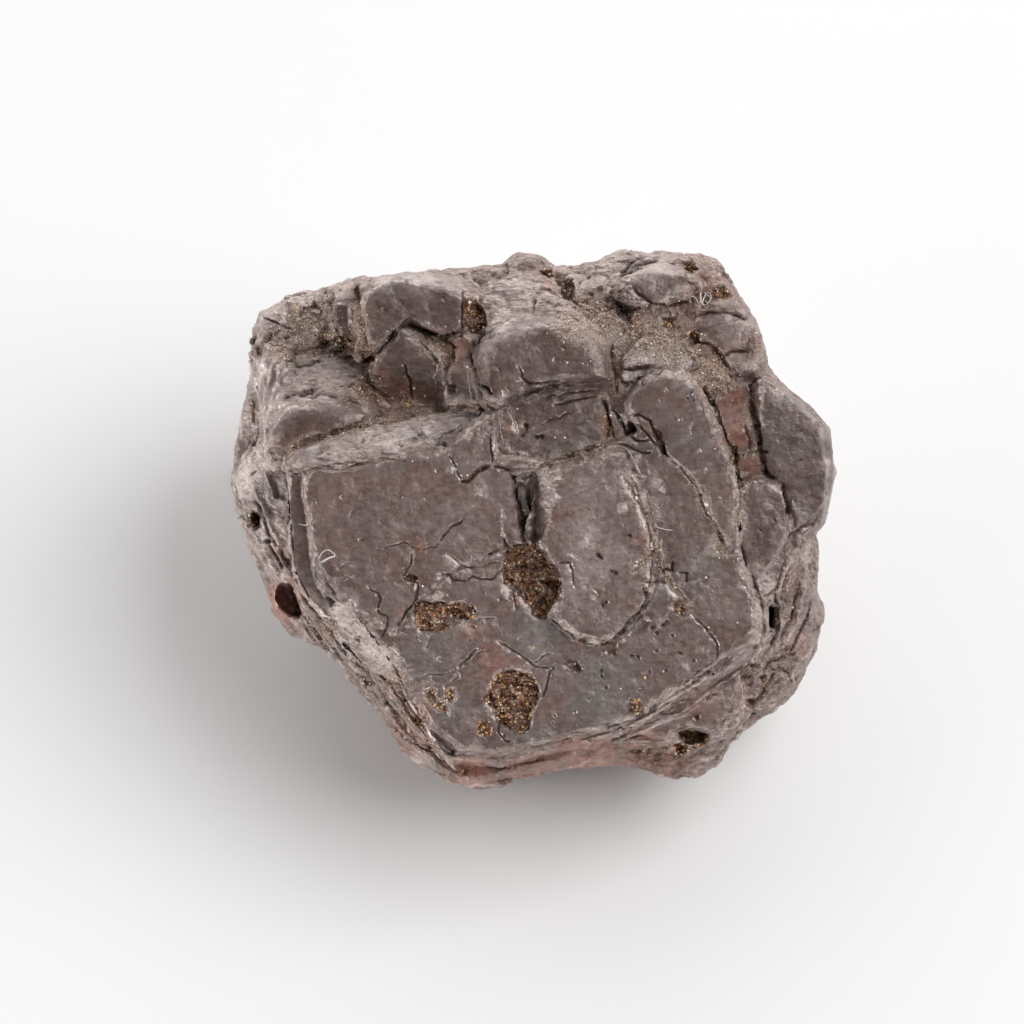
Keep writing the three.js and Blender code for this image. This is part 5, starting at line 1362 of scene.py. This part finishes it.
def ore_roughness(tree, marks):
    """Dull where the wind hasn't polished it, and duller still under sand and in hollows."""
    dull = between(tree, marks["polish"], 0.48, 0.29)
    dull = reckon(tree, "ADD", dull, between(tree, marks["mottle"], -0.06, 0.09))
    dull = reckon(tree, "MAXIMUM", dull, times(tree, marks["sandy"], 0.85))
    return reckon(tree, "MAXIMUM", dull, times(tree, marks["hollow"], 0.7))


def ore_shine(tree, marks):
    """The strength of the gloss, which rusty spots and the painted shade of dark spots and hollows take
    away.
    """
    shine = times(tree, marks["tone"], 0.5)
    shine = times(tree, shine, between(tree, marks["dark_and_shaded"], 1.0, 0.35))
    shine = times(tree, shine, between(tree, marks["hollow"], 1.0, 0.06))
    return times(tree, shine, between(tree, marks["rusty"], 1.0, 0.5))


def ore_relief(tree, marks):
    """Ripples, pores and grains too fine for the skin's own points, left out on a polished face."""
    ripples = ranged(tree, speckle(tree, 0.42, 2.0, 0.5, (0.5, 1, 1)), 0.3, 0.7, 0.0, 1.3)
    pores = ranged(tree, speckle(tree, 0.24, 3.0, 0.65), 0.3, 0.7)
    grains = speckle(tree, 0.09, 2.0, 0.6)
    relief = reckon(tree, "ADD", reckon(tree, "ADD", ripples, pores), times(tree, grains, 0.8))
    relief = times(tree, relief, between(tree, marks["polish"], 1.0, 0.06))
    relief = reckon(tree, "ADD", relief, times(tree, grains, marks["sandy"]))
    swells = ranged(tree, speckle(tree, 1.3, 2.0, 0.5), 0.3, 0.7, 0.0, 0.26)
    relief = reckon(tree, "ADD", relief, swells)
    bump = part_of(tree, "ShaderNodeBump", {"Height": relief, "Distance": GRAIN_RELIEF, "Strength": 1.0})
    return bump.outputs["Normal"]


def ironstone():
    finish, tree, inputs = new_finish("ironstone")
    names = ("hollow", "worn", "pale_wear_and_highlight", "dark_and_shaded", "sandy", "rusty", "cool", "polish", "upturned_matt")
    marks = {name: attribute(tree, name) for name in names}
    marks["mottle"] = ranged(tree, speckle(tree, 0.55, 4.0, 0.65), 0.34, 0.68)
    marks["tone"] = ore_tone(tree, marks["polish"])
    inputs["IOR"].default_value = ORE_IOR
    tint = blend(tree, marks["polish"], ROUGH_TINT, POLISHED_TINT)
    tree.links.new(ore_colour(tree, marks), inputs["Base Color"])
    tree.links.new(ore_roughness(tree, marks), inputs["Roughness"])
    tree.links.new(ore_shine(tree, marks), inputs["Specular IOR Level"])
    tree.links.new(tint, inputs["Specular Tint"])
    tree.links.new(ore_relief(tree, marks), inputs["Normal"])
    return finish


stone.data.materials.clear()
stone.data.materials.append(ironstone())
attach(stone, "root")
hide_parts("stone")

# --------------------------------------------------------------------------------------------------
# Sand. Loose desert grains, mostly tan and brown with some clear white and yellow ones, are wedged in
# the cracks, lie in the pits and cling to the rough slopes.
GRAIN_TINTS = np.array([
    (0.50, 0.35, 0.26), (0.30, 0.17, 0.11), (0.13, 0.06, 0.04), (0.80, 0.68, 0.56),
    (0.62, 0.36, 0.15), (0.95, 0.88, 0.80), (0.05, 0.025, 0.018),
])
TINT_SHARES = np.array([0.18, 0.18, 0.20, 0.15, 0.04, 0.12, 0.13])
CRUMB_TINTS = np.array([
    (0.11, 0.042, 0.020), (0.34, 0.125, 0.050), (0.58, 0.265, 0.105), (0.80, 0.50, 0.23), (0.98, 0.84, 0.64),
])
CRUMB_SHARES = np.array([0.18, 0.28, 0.22, 0.16, 0.16])
WHITE_GRAINS = (
    ((7.2, 8.8), 0.42), ((8.5, 2.6), 0.40), ((14.1, 2), 0.55), ((11.6, -4.6), 0.36), ((3, 13.4), 0.24),
    ((-4.8, 18.2), 0.50), ((2, 7.4), 0.26), ((2.8, 7.4), 0.24), ((3.5, -4.6), 0.22),
    ((14.1, -3.8), 0.24), ((3.6, -10.7), 0.24), ((-1, 9.7), 0.28), ((-1.4, 8.5), 0.24),
    ((-1, 7.8), 0.24), ((-5.7, 4.1), 0.26), ((-5, 4.4), 0.22), ((-8.2, 5.8), 0.22), ((-9.4, 5.5), 0.18),
    ((-10.2, 2.6), 0.18), ((2.4, 2.6), 0.20), ((11.8, 5.1), 0.22), ((14.8, 6.5), 0.26),
    ((16.1, 5.4), 0.24), ((18.2, 7.6), 0.24), ((18, 3.8), 0.22), ((-11.4, 15.9), 0.22),
    ((-20.6, 2.6), 0.20), ((-7.7, 12.2), 0.18), ((3.4, -2.8), 0.26), ((8.6, -14.7), 0.30),
    ((21, -6.2), 0.26), ((16.6, -7.4), 0.22), ((14.3, -7.8), 0.26), ((-4.2, -9.5), 0.26),
    ((-8.6, -4.5), 0.28),
)
GOLD_GRAINS = (
    ((0.3, -9.4), 0.36), ((9.2, -11.8), 0.34), ((-9.8, 10), 0.50), ((-13.4, 12.2), 0.30),
    ((-1.1, -13.1), 0.50), ((-2.4, -11.6), 0.40), ((-0.2, -13.9), 0.50), ((-0.6, -15.8), 0.40),
    ((-3.7, -15.8), 0.40), ((-6.5, -13.1), 0.45), ((-7.8, -13), 0.35), ((-7.1, -14.2), 0.35),
    ((0.8, -4.4), 0.40), ((-18.6, 17.8), 0.34), ((-19.6, 14.8), 0.30), ((-16.4, 15.6), 0.30),
    ((-10.7, -16.8), 0.26), ((-9.2, -13.4), 0.26), ((-8.2, -14.9), 0.26), ((6, 9.1), 0.30),
)
GRAIN_STAIN = (0.22, 0.13, 0.08, 1)
WHITE = (0.95, 0.90, 0.84)
GOLD = (0.85, 0.55, 0.22)
IN_CRACKS = 16  # grains to a millimetre of a crack that is full of sand
IN_PITS = 46  # crumbs to a square millimetre of a rusty pit
ON_SLOPES = 3600  # grains on all the dusty slopes
random = np.random.default_rng(19)
grain_spots = []


def strewn(place, size, tint=None):
    grain_spots.append((place, size, tint))


def grain_size(least, spread):
    """A grain's half width in millimetres. Most grains are near the least."""
    return least + spread * random.random() ** 2


for line, wide, _, _, fill in CRACKS:
    length = np.linalg.norm(np.diff(line, axis=0), axis=1).sum()
    for _ in range(int(length * fill * IN_CRACKS)):
        leg = random.integers(len(line) - 1)
        place = line[leg] + (line[leg + 1] - line[leg]) * random.random()
        strewn(place + random.normal(0, 0.3 * wide + 0.08, 2), grain_size(0.045, 0.075))
for outline, _, _, rust in PITS:
    low, top = outline.min(axis=0), outline.max(axis=0)
    for _ in range(int(np.prod(top - low) * IN_PITS * rust)):
        place = low + (top - low) * random.random(2)
        if within(place[None], outline)[0] > -0.08:
            tint = CRUMB_TINTS[random.choice(len(CRUMB_TINTS), p=CRUMB_SHARES)]
            strewn(place, grain_size(0.05, 0.11), tint * random.uniform(0.8, 1.2))
spots = np.array([(*place, reach, strength) for place, reach, strength in DUST])
by_area = spots[:, 2] ** 2 / (spots[:, 2] ** 2).sum()
for u, v, reach, _ in spots[random.choice(len(spots), ON_SLOPES, p=by_area)]:
    strewn(np.array([u, v]) + random.normal(0, 0.65 * reach, 2), grain_size(0.04, 0.08))
for place, size in WHITE_GRAINS:
    strewn(np.array(place), size / 2, WHITE)
for place, size in GOLD_GRAINS:
    strewn(np.array(place), size / 2, GOLD)

eye = from_face(*CAMERA_AIM, CAMERA_DISTANCE)
body = BVHTree.FromObject(stone, bpy.context.evaluated_depsgraph_get())


def landed(place):
    """Where a line of sight through this place of the broad face meets the stone."""
    return body.ray_cast(eye, (from_face(*place, 0) - eye).normalized())


pebble_points = np.array([(1, 0, 0), (0, 1, 0), (-1, 0, 0), (0, -1, 0), (0, 0, 1), (0, 0, -1)], float)
pebble_faces = np.array([(k, (k + 1) % 4, 4) for k in range(4)] + [((k + 1) % 4, k, 5) for k in range(4)])

all_points = []
all_faces = []
all_tints = []
for place, size, tint in grain_spots:
    hit, _, _, _ = landed(place)
    if hit is None or hit.z < 2 * MM:
        continue
    turn = np.linalg.qr(random.normal(size=(3, 3)))[0]
    shape = pebble_points * random.uniform(0.6, 1.25, (len(pebble_points), 1)) * random.uniform(0.7, 1.2, 3)
    turn *= np.sign(np.linalg.det(turn))
    all_faces.append(pebble_faces + len(pebble_points) * len(all_points))
    all_points.append(np.array(hit) + shape @ turn.T * size * MM)
    if tint is None:
        tint = GRAIN_TINTS[random.choice(len(GRAIN_TINTS), p=TINT_SHARES)] * random.uniform(0.8, 1.2)
    all_tints.append(np.tile(np.append(np.clip(tint, 0, 1), 1.0), (len(pebble_points), 1)))
sand_mesh = bpy.data.meshes.new("sand_grains")
sand_mesh.from_pydata(np.vstack(all_points).tolist(), [], np.vstack(all_faces).tolist())
sand_tints = sand_mesh.attributes.new("tint", "FLOAT_COLOR", "POINT")
sand_tints.data.foreach_set("color", np.vstack(all_tints).ravel())
sand = placed("sand_grains", sand_mesh)

sand_finish, sand_tree, sand_inputs = new_finish("sand")
tint = part_of(sand_tree, "ShaderNodeAttribute", attribute_name="tint").outputs["Color"]
stain = ranged(sand_tree, speckle(sand_tree, 0.08), 0.35, 0.65, 0.0, 0.4)
tint = blend(sand_tree, stain, tint, GRAIN_STAIN)
sand_tree.links.new(tint, sand_inputs["Base Color"])
sand_inputs["Roughness"].default_value = 0.55
sand.data.materials.append(sand_finish)
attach(sand, "root")

# --------------------------------------------------------------------------------------------------
# Lint. A few pale fibres of cloth, caught on the rough stone since it was last wiped.
FIBRE_THICK = 0.028  # half a fibre's width in millimetres
SOILED_COTTON = (0.78, 0.72, 0.66, 1)
CLEAN_COTTON = (0.95, 0.92, 0.88, 1)
FIBRES = (
    ((12.8, 18.2), (13, 18.7), (13.3, 18.4), (13.5, 18.1), (13.6, 19), (13.7, 18), (13.9, 18.5), (14.2, 19),
     (14.5, 18.7), (14.3, 18.2), (13.9, 18), (13.8, 18.4), (14.1, 18.8)),
    ((13.3, 19.1), (13.6, 18.7), (13.7, 18.2), (14, 17.8)),
    ((13.9, 19), (14.4, 18.6), (14.3, 18.2), (14, 18.3)),
    ((-16.9, -2.3), (-16.6, -1.8), (-16.2, -1.6), (-15.8, -1.8), (-15.6, -2), (-16.1, -2.2), (-16.6, -2.5),
     (-16.8, -2.6)),
    ((-16.6, -2.6), (-16.1, -2.3), (-15.6, -2.1)),
    ((10.2, 0.2), (10.6, 0.1), (11.1, 0), (11.4, 0)),
    ((-1.8, 9.5), (-1.5, 9), (-1.3, 8.5), (-0.9, 7.9)),
    ((-1.2, 8.7), (-1, 8.2), (-1.3, 7.8)),
    ((-18.5, 0.5), (-18.1, 0.4), (-17.7, 0.5)),
    ((1.8, 13.5), (1.9, 13.8)),
    ((-6, 9.8), (-5.6, 9.4), (-5.1, 9.6)),
    ((10.6, 14.2), (10.7, 13.8), (11, 13.4), (10.7, 13.3)),
)
bpy.ops.object.select_all(action="DESELECT")
strands = bpy.data.curves.new("lint", "CURVE")
strands.dimensions = "3D"
strands.bevel_depth = FIBRE_THICK * MM
strands.bevel_resolution = 1
strands.resolution_u = 4
strands.use_fill_caps = True
for route in FIBRES:
    lying = [(hit, normal) for hit, normal, _, _ in map(landed, route) if hit is not None]
    strand = strands.splines.new("BEZIER")
    strand.bezier_points.add(len(lying) - 1)
    for knot, (hit, normal) in zip(strand.bezier_points, lying):
        knot.co = hit + normal * 1.2 * FIBRE_THICK * MM
        knot.handle_left_type = "AUTO"
        knot.handle_right_type = "AUTO"
lint = placed("lint", strands)
lint.select_set(True)
bpy.context.view_layer.objects.active = lint
bpy.ops.object.convert(target="MESH")
cotton, cotton_tree, cotton_inputs = new_finish("cotton")
shade = blend(cotton_tree, speckle(cotton_tree, 0.3), SOILED_COTTON, CLEAN_COTTON)
cotton_tree.links.new(shade, cotton_inputs["Base Color"])
cotton_inputs["Roughness"].default_value = 0.8
lint.data.materials.clear()
lint.data.materials.append(cotton)
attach(lint, "root")

# --------------------------------------------------------------------------------------------------
# The table and the light. The stone lies on white paper under one broad panel at the side. Three low
# strips lift the shade behind, at the left and in front.
bpy.ops.mesh.primitive_plane_add(size=3.0, location=(0, 0, 0))
table = bpy.context.object
table.name = "table"
paper, _, paper_inputs = new_finish("paper")
paper_inputs["Base Color"].default_value = (0.9, 0.9, 0.9, 1)
paper_inputs["Roughness"].default_value = 0.9
paper_inputs["Specular IOR Level"].default_value = 0.0
table.data.materials.append(paper)


LIT_POINT = (0, 0, 0.01)


def softbox(name, place, size, power):
    """A rectangular lamp at this place, turned to the stone. Sizes are in metres, the power in watts."""
    light = bpy.data.lights.new(name, "AREA")
    light.shape = "RECTANGLE"
    light.size, light.size_y = size
    light.energy = power
    lamp = placed(name, light)
    lamp.location = place
    lamp.rotation_euler = (Vector(LIT_POINT) - Vector(place)).to_track_quat("-Z", "Y").to_euler()


softbox("side panel", (0.80, 0.0, 1.00), (1.20, 1.20), 14.6)
softbox("back strip", (-0.1, 0.5, 0.06), (0.7, 0.1), 1.8)
softbox("left strip", (-0.5, -0.2, 0.04), (0.5, 0.06), 2.0)
softbox("front strip", (0.1, -0.6, 0.08), (0.8, 0.12), 0.9)

# White paper stands all round the table, with an opening on the side that the stone is seen from.
world = bpy.data.worlds.new("studio")
world.use_nodes = True
tent = world.node_tree
toward = part_of(tent, "ShaderNodeTexCoord").outputs["Generated"]
opening = part_of(tent, "ShaderNodeVectorMath", {0: toward, 1: tuple(FACE_W)}, operation="DOT_PRODUCT")
glow = ranged(tent, opening.outputs["Value"], 0.5, 0.7, 0.9, 0.02)
tent.links.new(glow, tent.nodes["Background"].inputs["Strength"])
tent.nodes["Background"].inputs["Color"].default_value = (1, 1, 1, 1)
bpy.context.scene.world = world
bpy.context.scene.view_settings.view_transform = "Standard"
